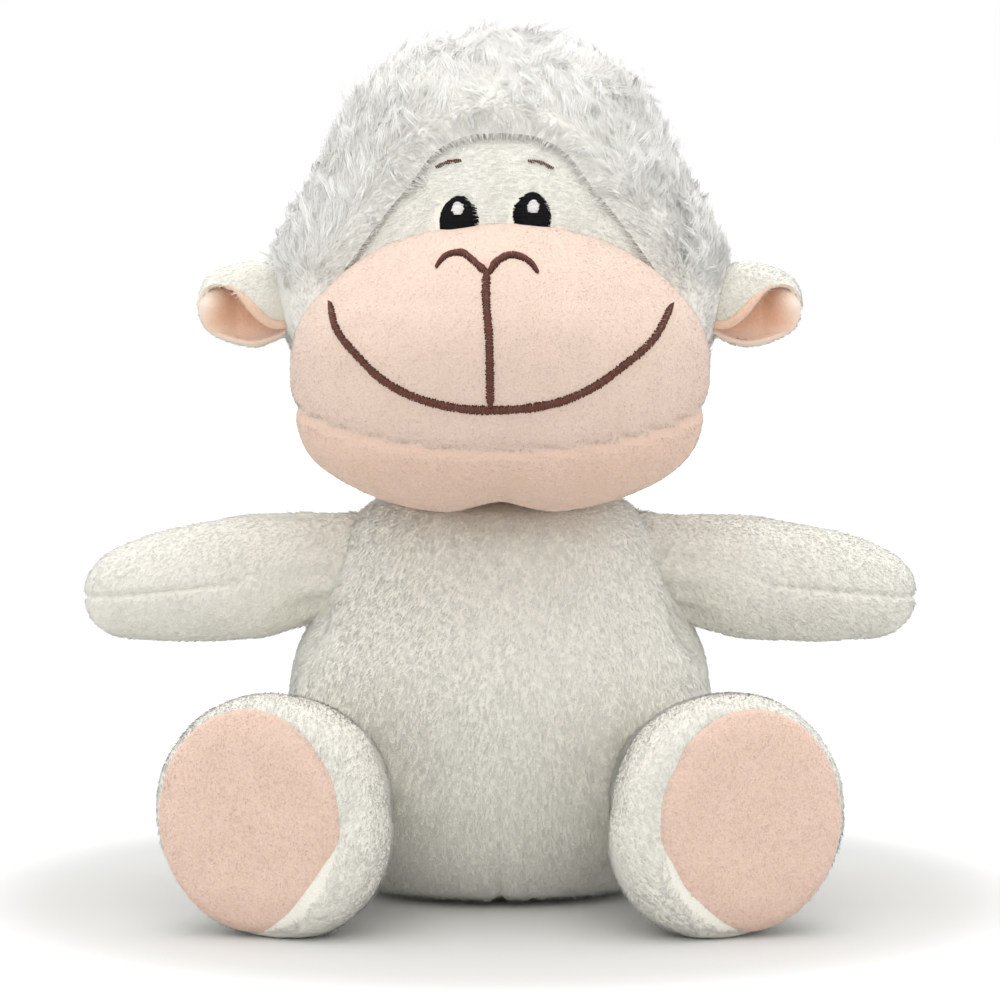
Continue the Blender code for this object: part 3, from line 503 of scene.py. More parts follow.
class Look:
    """A procedural material under construction."""

    def __init__(self, name, roughness, sheen, sheen_roughness=0.5):
        self.material = bpy.data.materials.new(name)
        self.material.use_nodes = True
        self.nodes = self.material.node_tree.nodes
        self.links = self.material.node_tree.links
        self.shader = self.nodes["Principled BSDF"]
        self.shader.inputs["Roughness"].default_value = roughness
        self.shader.inputs["Sheen Weight"].default_value = sheen
        self.shader.inputs["Sheen Roughness"].default_value = sheen_roughness
        self.shader.inputs["Specular IOR Level"].default_value = 0.2
        self.place = self.nodes.new("ShaderNodeTexCoord").outputs["Object"]

    def speckle(self, size, detail=2.0):
        """Noise with a grain of about size metres."""
        node = self.nodes.new("ShaderNodeTexNoise")
        node.inputs["Scale"].default_value = 1 / size
        node.inputs["Detail"].default_value = detail
        self.links.new(self.place, node.inputs["Vector"])
        return node.outputs["Fac"]

    def value(self, name):
        node = self.nodes.new("ShaderNodeAttribute")
        node.attribute_name = name
        return node.outputs["Fac"]

    def ramp(self, value, stops):
        """Colours or greys by a value."""
        node = self.nodes.new("ShaderNodeValToRGB")
        marks = node.color_ramp.elements
        while len(marks) < len(stops):
            marks.new(0.5)
        for mark, (at, colour) in zip(marks, stops):
            mark.position = at
            mark.color = (*colour, 1.0) if isinstance(colour, tuple) else (colour, colour, colour, 1.0)
        self.links.new(value, node.inputs["Fac"])
        return node.outputs["Color"]

    def mixed(self, first, second, way):
        node = self.nodes.new("ShaderNodeMix")
        node.data_type = "RGBA"
        node.blend_type = way
        self.links.new(first, node.inputs["A"])
        if isinstance(second, tuple):
            node.inputs["B"].default_value = (*second, 1.0)
        else:
            self.links.new(second, node.inputs["B"])
        return node

    def times(self, first, second):
        """One colour multiplied by another."""
        node = self.mixed(first, second, "MULTIPLY")
        node.inputs["Factor"].default_value = 1.0
        return node.outputs["Result"]

    def towards(self, first, second, value):
        """One colour turning into another by a value."""
        node = self.mixed(first, second, "MIX")
        self.links.new(value, node.inputs["Factor"])
        return node.outputs["Result"]

    def colour(self, output):
        self.links.new(output, self.shader.inputs["Base Color"])

    def rough(self, value, low, high):
        node = self.nodes.new("ShaderNodeMapRange")
        node.inputs["To Min"].default_value = low
        node.inputs["To Max"].default_value = high
        self.links.new(value, node.inputs["Value"])
        self.links.new(node.outputs["Result"], self.shader.inputs["Roughness"])

    def bump(self, value, height, strength=0.6):
        node = self.nodes.new("ShaderNodeBump")
        node.inputs["Strength"].default_value = strength
        node.inputs["Distance"].default_value = height
        self.links.new(value, node.inputs["Height"])
        self.links.new(node.outputs["Normal"], self.shader.inputs["Normal"])


def pile_look(name, root, tip, mottle=0.1, pale=None):
    """Pile that is deeper at its root, with uneven strands and soft patches, and paler where it is tinted."""
    look = Look(name, 0.9, 0.15)
    body = look.ramp(look.value("along"), ((0.0, root), (0.45, tuple((a + b) / 2 for a, b in zip(root, tip))), (1.0, tip)))
    if pale:
        body = look.towards(body, pale, look.value("tint"))
    uneven = look.ramp(look.value("shade"), ((0.0, 1 - mottle), (1.0, 1.0)))
    patches = look.ramp(look.speckle(9 * MM), ((0.3, (0.965, 0.965, 0.95)), (0.7, (1.0, 1.0, 1.0))))
    look.colour(look.times(look.times(body, uneven), patches))
    look.rough(look.speckle(3 * MM), 0.82, 0.96)
    return look.material


def cloth_look(name, low, high, grain=0.5, pale=None):
    """The short knit under a pile."""
    look = Look(name, 0.95, 0.1)
    fine = look.speckle(grain * MM, 3.0)
    wide = look.ramp(look.speckle(8 * MM), ((0.3, (0.95, 0.95, 0.94)), (0.7, (1.0, 1.0, 1.0))))
    body = look.ramp(fine, ((0.3, low), (0.7, high)))
    if pale:
        body = look.towards(body, pale, look.value("tint"))
    look.colour(look.times(body, wide))
    look.rough(fine, 0.85, 1.0)
    look.bump(fine, 0.25 * MM)
    return look.material


def thread_look(name, deep, painted_highlight, roughness, sheen=0.2, gloss=0.2):
    """Satin thread, with a painted highlight along the middle of each stitch and painted shade where it dips into the
    cloth.
    """
    look = Look(name, roughness, sheen, 0.3)
    look.shader.inputs["Specular IOR Level"].default_value = gloss
    # The first colour is painted shade at each stitch's ends, the second a painted highlight along its middle.
    run = look.ramp(look.value("along"), ((0.0, deep), (0.3, painted_highlight), (0.7, painted_highlight), (1.0, deep)))
    uneven = look.ramp(look.value("shade"), ((0.0, 0.72), (1.0, 1.0)))
    look.colour(look.times(run, uneven))
    look.rough(look.speckle(0.4 * MM), roughness - 0.08, roughness + 0.12)
    look.bump(look.speckle(0.12 * MM), 0.05 * MM, 0.4)
    return look.material


LOOKS = {
    "white_pile": pile_look("white_pile", (0.9, 0.88, 0.795), (0.97, 0.96, 0.915), 0.05),
    "white_cloth": cloth_look("white_cloth", (0.86, 0.84, 0.75), (0.91, 0.89, 0.81)),
    "wool": pile_look("wool", (0.965, 0.945, 0.885), (0.99, 0.98, 0.945), 0.02, (0.99, 0.985, 0.96)),
    "wool_cloth": cloth_look("wool_cloth", (0.9, 0.88, 0.81), (0.93, 0.91, 0.84), 2.0),
    "peach_pile": pile_look("peach_pile", (0.765, 0.595, 0.5), (0.805, 0.665, 0.575), 0.04),
    "peach_cloth": cloth_look("peach_cloth", (0.745, 0.565, 0.47), (0.785, 0.625, 0.535)),
    "chin_pile": pile_look("chin_pile", (0.79, 0.57, 0.46), (0.84, 0.66, 0.565), 0.04),
    "chin_cloth": cloth_look("chin_cloth", (0.77, 0.54, 0.43), (0.81, 0.61, 0.51)),
    "sole_pile": pile_look("sole_pile", (0.82, 0.565, 0.445), (0.88, 0.665, 0.55), 0.04),
    "sole_cloth": cloth_look("sole_cloth", (0.79, 0.56, 0.45), (0.84, 0.64, 0.54)),
    "ear_pile": pile_look("ear_pile", (0.9, 0.55, 0.37), (0.96, 0.68, 0.51), 0.04, (0.93, 0.81, 0.71)),
    "ear_cloth": cloth_look("ear_cloth", (0.88, 0.52, 0.35), (0.93, 0.6, 0.43), 0.5, (0.92, 0.79, 0.69)),
    # Each thread look gives painted shade at the stitch ends, then a painted highlight along the middle.
    "brown_thread": thread_look("brown_thread", (0.035, 0.01, 0.006), (0.17, 0.06, 0.04), 0.5),
    "black_thread": thread_look("black_thread", (0.002, 0.002, 0.002), (0.007, 0.007, 0.008), 0.55, 0.0, 0.1),
    "white_thread": thread_look("white_thread", (0.55, 0.54, 0.53), (0.88, 0.87, 0.86), 0.5),
}


# Pile


def roots_on(obj, per_mm2):
    """Evenly scattered places on a piece, with their normals."""
    mesh = obj.data
    mesh.calc_loop_triangles()
    tris = np.empty(len(mesh.loop_triangles) * 3, np.int64)
    mesh.loop_triangles.foreach_get("vertices", tris)
    co = np.empty(len(mesh.vertices) * 3)
    mesh.vertices.foreach_get("co", co)
    normals = np.empty(len(mesh.vertices) * 3)
    mesh.vertices.foreach_get("normal", normals)
    corner = co.reshape(-1, 3)[tris.reshape(-1, 3)]
    facing = normals.reshape(-1, 3)[tris.reshape(-1, 3)]
    areas = np.linalg.norm(np.cross(corner[:, 1] - corner[:, 0], corner[:, 2] - corner[:, 0]), axis=1) / 2
    count = int(areas.sum() * per_mm2 / MM**2)
    steps = (np.arange(count) + rng.random(count)) / count * areas.sum()
    chosen = np.minimum(np.searchsorted(np.cumsum(areas), steps), len(areas) - 1)
    a, b = rng.random((2, count, 1))
    fold = a + b > 1
    a, b = np.where(fold, 1 - a, a), np.where(fold, 1 - b, b)
    weights = (1 - a - b, a, b)
    places = sum(w * corner[chosen, i] for i, w in enumerate(weights))
    out = sum(w * facing[chosen, i] for i, w in enumerate(weights))
    return places, unit(out)


def loose(bm):
    """An object that only lends its surface to a pile."""
    mesh = bpy.data.meshes.new("loose")
    bm.to_mesh(mesh)
    bm.free()
    return bpy.data.objects.new("loose", mesh)


def drop(obj):
    mesh = obj.data
    bpy.data.objects.remove(obj)
    bpy.data.meshes.remove(mesh)


def unit(vectors):
    return vectors / np.maximum(np.linalg.norm(vectors, axis=-1, keepdims=True), 1e-9)


def drift(places, size, seed):
    """A smooth field of small sideways vectors."""
    shift = Vector((seed, -seed, 2 * seed))
    return np.array([noise.noise_vector(Vector(p) / size + shift) for p in places])


def short_pile(name, obj, look, body, comb, wanted, per_mm2, length, radius, lift, sway=0.5, clump=3.2, tint=None):
    """Short pile combed over a piece. comb(places) gives the way it lies and wanted(places) where it grows."""
    places, out = roots_on(obj, per_mm2)
    stay = wanted(places)
    places, out = places[stay], out[stay]
    way = comb(places) + sway * drift(places, clump * MM, 3.0) + 0.4 * sway * drift(places, 12 * MM, 7.0)
    way = unit(way - out * np.sum(way * out, axis=1, keepdims=True))
    way = unit(way + 0.12 * rng.normal(size=way.shape))
    rise = lift * (1 + 0.25 * rng.normal(size=(len(places), 1)))
    lean = unit(way + out * np.maximum(rise, 0.12))
    reach = length * (0.75 + 0.5 * rng.random((len(places), 1)))
    start = places - out * 0.25 * MM
    shares = np.linspace(0, 1, 2)
    lines = np.stack([start + lean * reach * t for t in shares], axis=1)
    lines[..., 2] = np.maximum(lines[..., 2], 0.15 * MM)
    radii = radius * (1 - shares)[None, :] * (0.8 + 0.4 * rng.random((len(places), 1)))
    facing = unit(out + 0.15 * way + 0.06 * rng.normal(size=way.shape))
    tones = tint(places) if tint else None
    return strands(name, lines, radii, LOOKS[look], body, facing=facing, tint=tones)


def downwards(places):
    return np.tile((0.0, 0.0, -1.0), (len(places), 1))


# Torso


def make_torso():
    """The pear-shaped body, in two halves with a seam down the front and the back."""
    line = torso_line()
    outline = [(0.0, 0.0), (12 * MM, 0.0)] + line
    outline += [(16 * MM, TORSO_HEIGHT), (8 * MM, TORSO_HEIGHT), (0.0, TORSO_HEIGHT)]

    def uneven(co):
        seam = math.exp(-((co.x / (1.3 * MM)) ** 2)) * (0.1 + 0.9 * min(max(0.0, 1.3 - co.z / (34 * MM)), 1.0))
        rolls = 0.5 * lumps(co, 26 * MM, 2.0) + 0.22 * lumps(co, 9 * MM, 5.0)
        pucker = sum(
            math.exp(-((co - Vector((sign * 40, 1, 61)) * MM).length / (5.5 * MM)) ** 2) for sign in (-1, 1)
        )
        return (-0.8 + rolls - 0.9 * seam - 3.0 * pucker) * MM

    form = moved(spun(outline, 160, TORSO_DEPTH_SHARE, TORSO_PLACE), uneven)
    for v in form.verts:
        v.co.z = max(v.co.z, 0.2 * MM)
    surface = loose(form.copy())
    for side, sign in SIDES.items():
        half = form.copy()
        geom = half.verts[:] + half.edges[:] + half.faces[:]
        bmesh.ops.bisect_plane(half, geom=geom, plane_co=(0, 0, 0), plane_no=(-sign, 0, 0), clear_outer=True)
        bmesh.ops.holes_fill(half, edges=[e for e in half.edges if e.is_boundary])
        cloth = keep("torso_cloth_" + side, half, LOOKS["white_cloth"], "torso")
        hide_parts("torso_cover_" + side, "torso_stuffing")

        def bare(places):
            clear = sign * places[:, 0] > 0.03 * MM
            clear &= in_limbs(places, arm_line(), ARM_DEPTH_SHARE, arm_place) > 0.86
            clear &= in_limbs(places, leg_line(), LEG_DEPTH_SHARE, leg_place) > 0.86
            return clear & (places[:, 2] > 1.0 * MM) & (in_muzzle(places) > 0.9) & (places[:, 2] < 91.5 * MM)

        def comb(places):
            way = downwards(places)
            way[:, 0] += sign * 0.25 * eased(np.abs(places[:, 0]), 2 * MM, 30 * MM)
            return way

        short_pile("torso_pile_" + side, surface, "white_pile", "torso", comb, bare, 4.4, 2.0 * MM, 0.1 * MM, 0.38)
    drop(surface)
    form.free()


# Arms and legs


def make_arms():
    """An arm on each side, sewn along the middle of its front and back."""
    for side, sign in SIDES.items():
        place = arm_place(side)
        back = place.inverted()

        def uneven(co):
            own = back @ co
            seam_rise = 3.2 * MM * (1 - eased(own.z, 12 * MM, 24 * MM))
            seam = math.exp(-(((own.x - seam_rise) / (0.8 * MM)) ** 2)) * eased(own.z, 10 * MM, 26 * MM)
            tip = eased(own.z / ARM_REACH, 0.72, 0.95)
            low = max(-own.x, 0.0) / ARM_HALF_HEIGHT
            root = math.exp(-(((own.z - 2 * MM) / (9 * MM)) ** 2)) * max(own.x, 0.0) / ARM_HALF_HEIGHT
            pucker = math.exp(-((co - Vector((sign * 42, 1, 62)) * MM).length / (6 * MM)) ** 2)
            folds = 0.5 * math.cos(9 * math.atan2(own.x, own.y)) * max(0.0, 1 - abs(own.z - 2 * MM) / (12 * MM))
            rolls = 0.45 * lumps(co, 18 * MM, 4.0) + 0.2 * lumps(co, 7 * MM, 8.0)
            return (-0.8 + 0.8 * tip + 1.8 * low * tip + 1.1 * root + rolls + folds - 0.7 * seam - 3.2 * pucker) * MM

        form = spun([(0.0, -12 * MM)] + arm_line(), 96, ARM_DEPTH_SHARE, place)
        cloth = keep("arm_cloth_" + side, moved(form, uneven), LOOKS["white_cloth"], None)
        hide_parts("arm_cover_" + side, "arm_stuffing_" + side)
        out = place.to_3x3() @ Vector((0, 0, 1))

        def comb(places):
            way = np.tile(np.array(out), (len(places), 1)) + 0.7 * downwards(places)
            return way

        def bare(places):
            return (in_torso(places) > 0.9) & (in_skull(places) > 1.0) & (in_muzzle(places) > 0.9)

        pile = short_pile("arm_pile_" + side, cloth, "white_pile", None, comb, bare, 4.4, 1.8 * MM, 0.1 * MM, 0.36)
        for piece in (cloth, pile):
            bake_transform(piece)


def make_legs():
    """A leg on each side, ending in a peach sole."""
    for side, sign in SIDES.items():
        place = leg_place(side)
        body = "leg_" + side

        back = place.inverted()

        def uneven(co):
            own = back @ co
            inner = eased(sign * own.y / LEG_HALF_HEIGHT, 0.1, 0.8)
            along = math.exp(-(((own.z / LEG_REACH - 0.72) / 0.24) ** 2))
            corner = eased((sign * own.y - own.x) / (1.41 * LEG_HALF_HEIGHT), 0.55, 1.0) * eased(own.z / LEG_REACH, 0.45, 0.75)
            return (-0.9 + 1.8 * inner * along + 2.6 * corner + 0.5 * lumps(co, 22 * MM, 6.0) + 0.2 * lumps(co, 8 * MM, 3.0)) * MM

        form = spun([(0.0, -16 * MM)] + leg_line(), 112, LEG_DEPTH_SHARE, place)
        form = moved(form, uneven)
        for v in form.verts:
            v.co.z = max(v.co.z, 0.2 * MM)
        cloth = keep("leg_cloth_" + side, form, LOOKS["white_cloth"], None)
        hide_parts("leg_cover_" + side, "leg_stuffing_" + side)
        out = place.to_3x3() @ Vector((0, 0, 1))

        def sole_share(own):
            up = (own[:, 0] - SOLE_SHIFT.x) / SOLE_HALF.x
            across = (own[:, 1] - sign * SOLE_SHIFT.y) / SOLE_HALF.y
            return np.where(own[:, 2] > 0.5 * LEG_REACH, np.hypot(up, across), 9.0)

        def in_leg(places):
            return (places - np.array(place.translation)) @ np.array(place.to_3x3())

        def comb(places):
            return 0.8 * np.tile(np.array(out), (len(places), 1)) + 0.5 * downwards(places)

        def bare(places):
            clear = sole_share(in_leg(places)) > 0.97
            return clear & (in_torso(places) > 0.9) & (places[:, 2] > 0.8 * MM)

        pile = short_pile("leg_pile_" + side, cloth, "white_pile", None, comb, bare, 4.4, 1.8 * MM, 0.1 * MM, 0.36)
        for piece in (cloth, pile):
            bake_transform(piece)
        patch = spun([(0.0, 0.0), (0.5, 0.0)] + [(r, 0.0) for r in np.linspace(0.55, 1.0, 16)], 96, 1.0, Matrix())
        ends = np.array(leg_line(200))
        ends = ends[ends[:, 1] > 0.82 * LEG_REACH][::-1]
        for v in patch.verts:
            share = v.co.xy.length
            spot = Vector((v.co.x * SOLE_HALF.x, v.co.y * SOLE_HALF.y)) + Vector((SOLE_SHIFT.x, sign * SOLE_SHIFT.y))
            radius = math.hypot(spot.x, spot.y / LEG_DEPTH_SHARE)
            level = np.interp(radius, ends[:, 0], ends[:, 1])
            puff = (1.3 - 1.2 * share**6 + 0.25 * lumps(v.co, 0.35, 2.0 + sign)) * MM
            v.co = place @ Vector((spot.x, spot.y, level - 0.6 * MM + puff))
        form = thickened(facing_along(patch, out), 1.2 * MM)
        for v in form.verts:
            v.co.z = max(v.co.z, 0.2 * MM)
        sole = keep("sole_cloth_" + side, form, LOOKS["sole_cloth"], body)
        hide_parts("sole_" + side)

        def front(places):
            return sole_share(in_leg(places)) < 0.985

        short_pile("sole_pile_" + side, sole, "sole_pile", body, downwards, front, 6.0, 0.9 * MM, 0.09 * MM, 0.5)


# Head


def make_face():
    """The short-pile forehead."""
    form = swollen(SKULL_CENTRE, SKULL, SKULL_LOW, lambda way: 2.0, 128)
    form = moved(form, lambda co: (1.5 + 0.25 * lumps(co, 12 * MM, 9.0)) * MM)
    face = cut_form(form, prism(hairline(-3 * MM), SKULL_CENTRE.y - 12 * MM, -0.12), "INTERSECT")
    cloth = keep("forehead_cloth", outward(face), LOOKS["white_cloth"], "head")
    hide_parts("face_panel", "head_stuffing")

    def bare(places):
        front = places[:, 1] < SKULL_CENTRE.y - 14 * MM
        outer = in_skull(places) > 1.005
        return front & outer & (in_muzzle(places) > 0.97) & ~on_eyes(places)

    def comb(places):
        way = np.zeros((len(places), 3))
        way[:, 0] = -1.0
        way[:, 2] = 0.3 * places[:, 0] / SKULL.x
        return way

    short_pile("forehead_pile", cloth, "white_pile", "head", comb, bare, 5.5, 2.4 * MM, 0.085 * MM, 0.28, 0.3, 5.0)


def on_eyes(places):
    """Where the embroidered eyes leave no room for pile."""
    hit = np.zeros(len(places), bool)
    for x, z in EYE_SHARES.values():
        away = np.hypot(
            (places[:, 0] - x * SKULL.x) / (EYE_HALF[0] + 0.3 * MM),
            (places[:, 2] - SKULL_CENTRE.z - z * SKULL.z) / (EYE_HALF[1] + 0.3 * MM),
        )
        hit |= away < 1.0
    return hit


def muzzle_form():
    """The puffed muzzle, with a notch between its lobes and a groove along the chin seam."""
    bm = swollen(MUZZLE_CENTRE, MUZZLE + Vector((0, 0, 1.2 * MM)), MUZZLE.z + 1.6 * MM, muzzle_power, 144)
    for v in bm.verts:
        depth = max(0.0, (MUZZLE_CENTRE.z - v.co.z) / MUZZLE.z)
        v.co.z += 2.6 * MM * math.exp(-((v.co.x / (8 * MM)) ** 2)) * depth**3

    def uneven(co):
        off = (co.z - chin_seam(co.x)) / MM
        groove = math.exp(-((off / 0.9) ** 2)) + 0.5 * math.exp(-((off / 2.6) ** 2))
        side = eased(abs(co.x) / MUZZLE.x, 0.55, 0.9) * math.exp(-(((co.z - MUZZLE_CENTRE.z + 20 * MM) / (9 * MM)) ** 2))
        return (-0.35 + 1.2 * side + 0.35 * lumps(co, 16 * MM, 1.0) + 0.12 * lumps(co, 5 * MM, 4.0) - 0.9 * groove) * MM

    return moved(bm, uneven)


def embroidery_lines():
    """The (x, z) lines of the smile, the nostrils and the lip."""
    def placed(shares, count):
        line = smooth_line(shares, np.linspace(0, 1, count))
        return line * (MUZZLE.x, MUZZLE.z) + (0.0, MUZZLE_CENTRE.z)

    return {
        "smile": placed(SMILE_SHARES, 90),
        "nostril_left": placed(NOSTRIL_SHARES["left"], 30),
        "nostril_right": placed(NOSTRIL_SHARES["right"], 30),
        "lip": placed(LIP_SHARES, 40),
    }


def make_muzzle():
    """Muzzle and chin, sewn together along the chin seam."""
    below = [(x, chin_seam(x)) for x in np.linspace(-0.09, 0.09, 49)]
    corners = [(0.09, 0.04), (-0.09, 0.04)]
    whole = muzzle_form()
    chin_side = prism(below + corners, 0.09, -0.12)
    lines = np.vstack(list(embroidery_lines().values()))
    surface = loose(whole.copy())
    for part, operation in (("muzzle", "DIFFERENCE"), ("chin", "INTERSECT")):
        form = cut_form(whole.copy(), chin_side.copy(), operation)
        look = {"muzzle": "peach", "chin": "chin"}[part]
        cloth = keep(part + "_cloth", outward(form), LOOKS[look + "_cloth"], "head")
        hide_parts(part + "_panel")

        def bare(places):
            gap = np.full(len(places), 1.0)
            for spot in lines:
                gap = np.minimum(gap, np.hypot(places[:, 0] - spot[0], places[:, 2] - spot[1]))
            clear = (gap > 0.9 * MM) | (places[:, 1] > MUZZLE_CENTRE.y)
            above = places[:, 2] > chin_seam(places[:, 0])
            clear &= above if part == "muzzle" else ~above
            return clear & (in_skull(places) > 1.03) & (in_muzzle(places) > 0.9) & (in_torso(places) > 0.97)

        def comb(places):
            way = downwards(places)
            way[:, 0] = 0.5 * places[:, 0] / MUZZLE.x
            return way

        short_pile(part + "_pile", surface, look + "_pile", "head", comb, bare, 5.6, 0.95 * MM, 0.09 * MM, 0.35, 0.5, 4.0)
    drop(surface)
    whole.free()
    chin_side.free()


# Embroidery


def look_up(bm):
    bm.normal_update()
    return BVHTree.FromBMesh(bm)


def on_surface(tree, x, z):
    """The point and the normal of a form seen from the front at x and z."""
    place, normal, _, _ = tree.ray_cast(Vector((x, -0.12, z)), Vector((0, 1, 0)))
    return place, normal


def satin(tree, line, half_widths, pitch, rise):
    """Stitches laid side by side across a line of (x, z) points, as lines of five points.

    half_widths are the row's from its start to its end.
    """
    length = np.sum(np.linalg.norm(np.diff(line, axis=0), axis=1))
    count = int(length / pitch)
    middle = smooth_line(line, np.linspace(0, 1, count))
    run = unit(np.gradient(middle, axis=0))
    made = []
    for i, ((x, z), (dx, dz)) in enumerate(zip(middle, run)):
        slant = rng.normal(0.12, 0.1)
        wide = np.interp(i / (count - 1), np.linspace(0, 1, len(half_widths)), half_widths) * (1 + 0.1 * rng.normal())
        ends = min(1.0, 0.45 + 0.12 * min(i, count - 1 - i))
        across = np.array((-dz + slant * dx, dx + slant * dz)) * wide * ends
        stitch = []
        for t in np.linspace(-1, 1, 5):
            place, normal = on_surface(tree, x + across[0] * t, z + across[1] * t)
            stitch.append(place + normal * (rise * (1 - t * t) - 0.25 * MM * abs(t) + 0.1 * MM))
        made.append(stitch)
    return np.array(made)


def make_embroidery():
    """Smile, nostrils and lip in brown satin stitch."""
    tree = look_up(muzzle_form())
    lines = embroidery_lines()
    plans = {
        "smile_threads": ({"smile": (0.8, 0.95, 0.8)}, "smile_stitching"),
        "nostril_threads": ({"nostril_left": (0.38, 0.72, 0.9), "nostril_right": (0.9, 0.74, 0.5)}, "nostril_stitching"),
        "lip_threads": ({"lip": (0.9, 0.85, 0.85)}, "lip_stitching"),
    }
    for name, (parts, node) in plans.items():
        rows = [satin(tree, lines[part], np.array(widths) * MM, 0.3 * MM, 0.75 * MM) for part, widths in parts.items()]
        made = np.concatenate(rows)
        radii = np.full(made.shape[:2], 0.165 * MM) * (0.85 + 0.3 * rng.random((len(made), 1)))
        piece = strands(name, made, radii, LOOKS["brown_thread"], "head", 5, False)
        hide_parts(node)


def patch_threads(tree, x, z, half_width, half_height, pitch, rise, ragged):
    """Level stitches that fill an oval, ragged by so much at their left and right ends."""
    made = []
    for level in np.arange(-half_height, half_height, pitch):
        reach = half_width * math.sqrt(max(0.0, 1 - (level / half_height) ** 2))
        left = x - reach + ragged[0] * rng.normal()
        right = x + reach + ragged[1] * rng.normal()
        if right - left < 0.3 * MM:
            continue
        stitch = []
        for t in np.linspace(0, 1, 7):
            at = left + (right - left) * t
            place, normal = on_surface(tree, at, z + level + 0.04 * MM * rng.normal())
            bow = 1 - (2 * t - 1) ** 4
            stitch.append(place + normal * (rise * bow - 0.2 * MM * (1 - bow)))
        made.append(stitch)
    return np.array(made)


def make_eyes():
    """Black satin ovals with a white glint each, and small dark brows."""
    skull = moved(swollen(SKULL_CENTRE, SKULL, SKULL_LOW, lambda way: 2.0, 128), lambda co: 1.5 * MM)
    tree = look_up(skull)
    for side in SIDES:
        x, z = EYE_SHARES[side]
        x, z = x * SKULL.x, SKULL_CENTRE.z + z * SKULL.z
        ragged = {"left": (0.06 * MM, 0.26 * MM), "right": (0.26 * MM, 0.06 * MM)}[side]
        layers = [patch_threads(tree, x, z, EYE_HALF[0], EYE_HALF[1], 0.25 * MM, rise, ragged) for rise in (0.6 * MM, 0.85 * MM)]
        made = np.concatenate(layers)
        radii = np.full(made.shape[:2], 0.2 * MM)
        eye = strands("eye_threads_" + side, made, radii, LOOKS["black_thread"], "head", 5, False)
        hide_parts("eye_" + side)
        x, z = GLINT_SHARES[side]
        made = patch_threads(tree, x * SKULL.x, SKULL_CENTRE.z + z * SKULL.z, *GLINT_HALF, 0.24 * MM, 1.25 * MM, (0.1 * MM, 0.1 * MM))
        radii = np.full(made.shape[:2], 0.18 * MM)
        glint = strands("glint_threads_" + side, made, radii, LOOKS["white_thread"], "head", 5, False)
        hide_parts("eye_glint_" + side)
        line = smooth_line(BROW_SHARES[side], np.linspace(0, 1, 12)) * (SKULL.x, SKULL.z) + (0.0, SKULL_CENTRE.z)
        made = satin(tree, line, np.array((0.15, 0.5, 0.12, 0.5, 0.12, 0.55, 0.3)) * MM, 0.36 * MM, 0.9 * MM)
        radii = np.full(made.shape[:2], 0.15 * MM)
        brow = strands("brow_threads_" + side, made, radii, LOOKS["brown_thread"], "head", 5, False)
        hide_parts("brow_" + side)


# Wool


def from_hairline(places):
    """How far places on the front of the head are from the hairline, seen from the front."""
    line = np.array(hairline())
    away = np.full(len(places), 1.0)
    for start, end in zip(line, np.roll(line, -1, axis=0)):
        run = end - start
        share = np.clip(((places[:, [0, 2]] - start) @ run) / max(run @ run, 1e-12), 0, 1)
        away = np.minimum(away, np.linalg.norm(places[:, [0, 2]] - start - share[:, None] * run, axis=1))
    return np.where(places[:, 1] < SKULL_CENTRE.y - 6 * MM, away, 1.0)


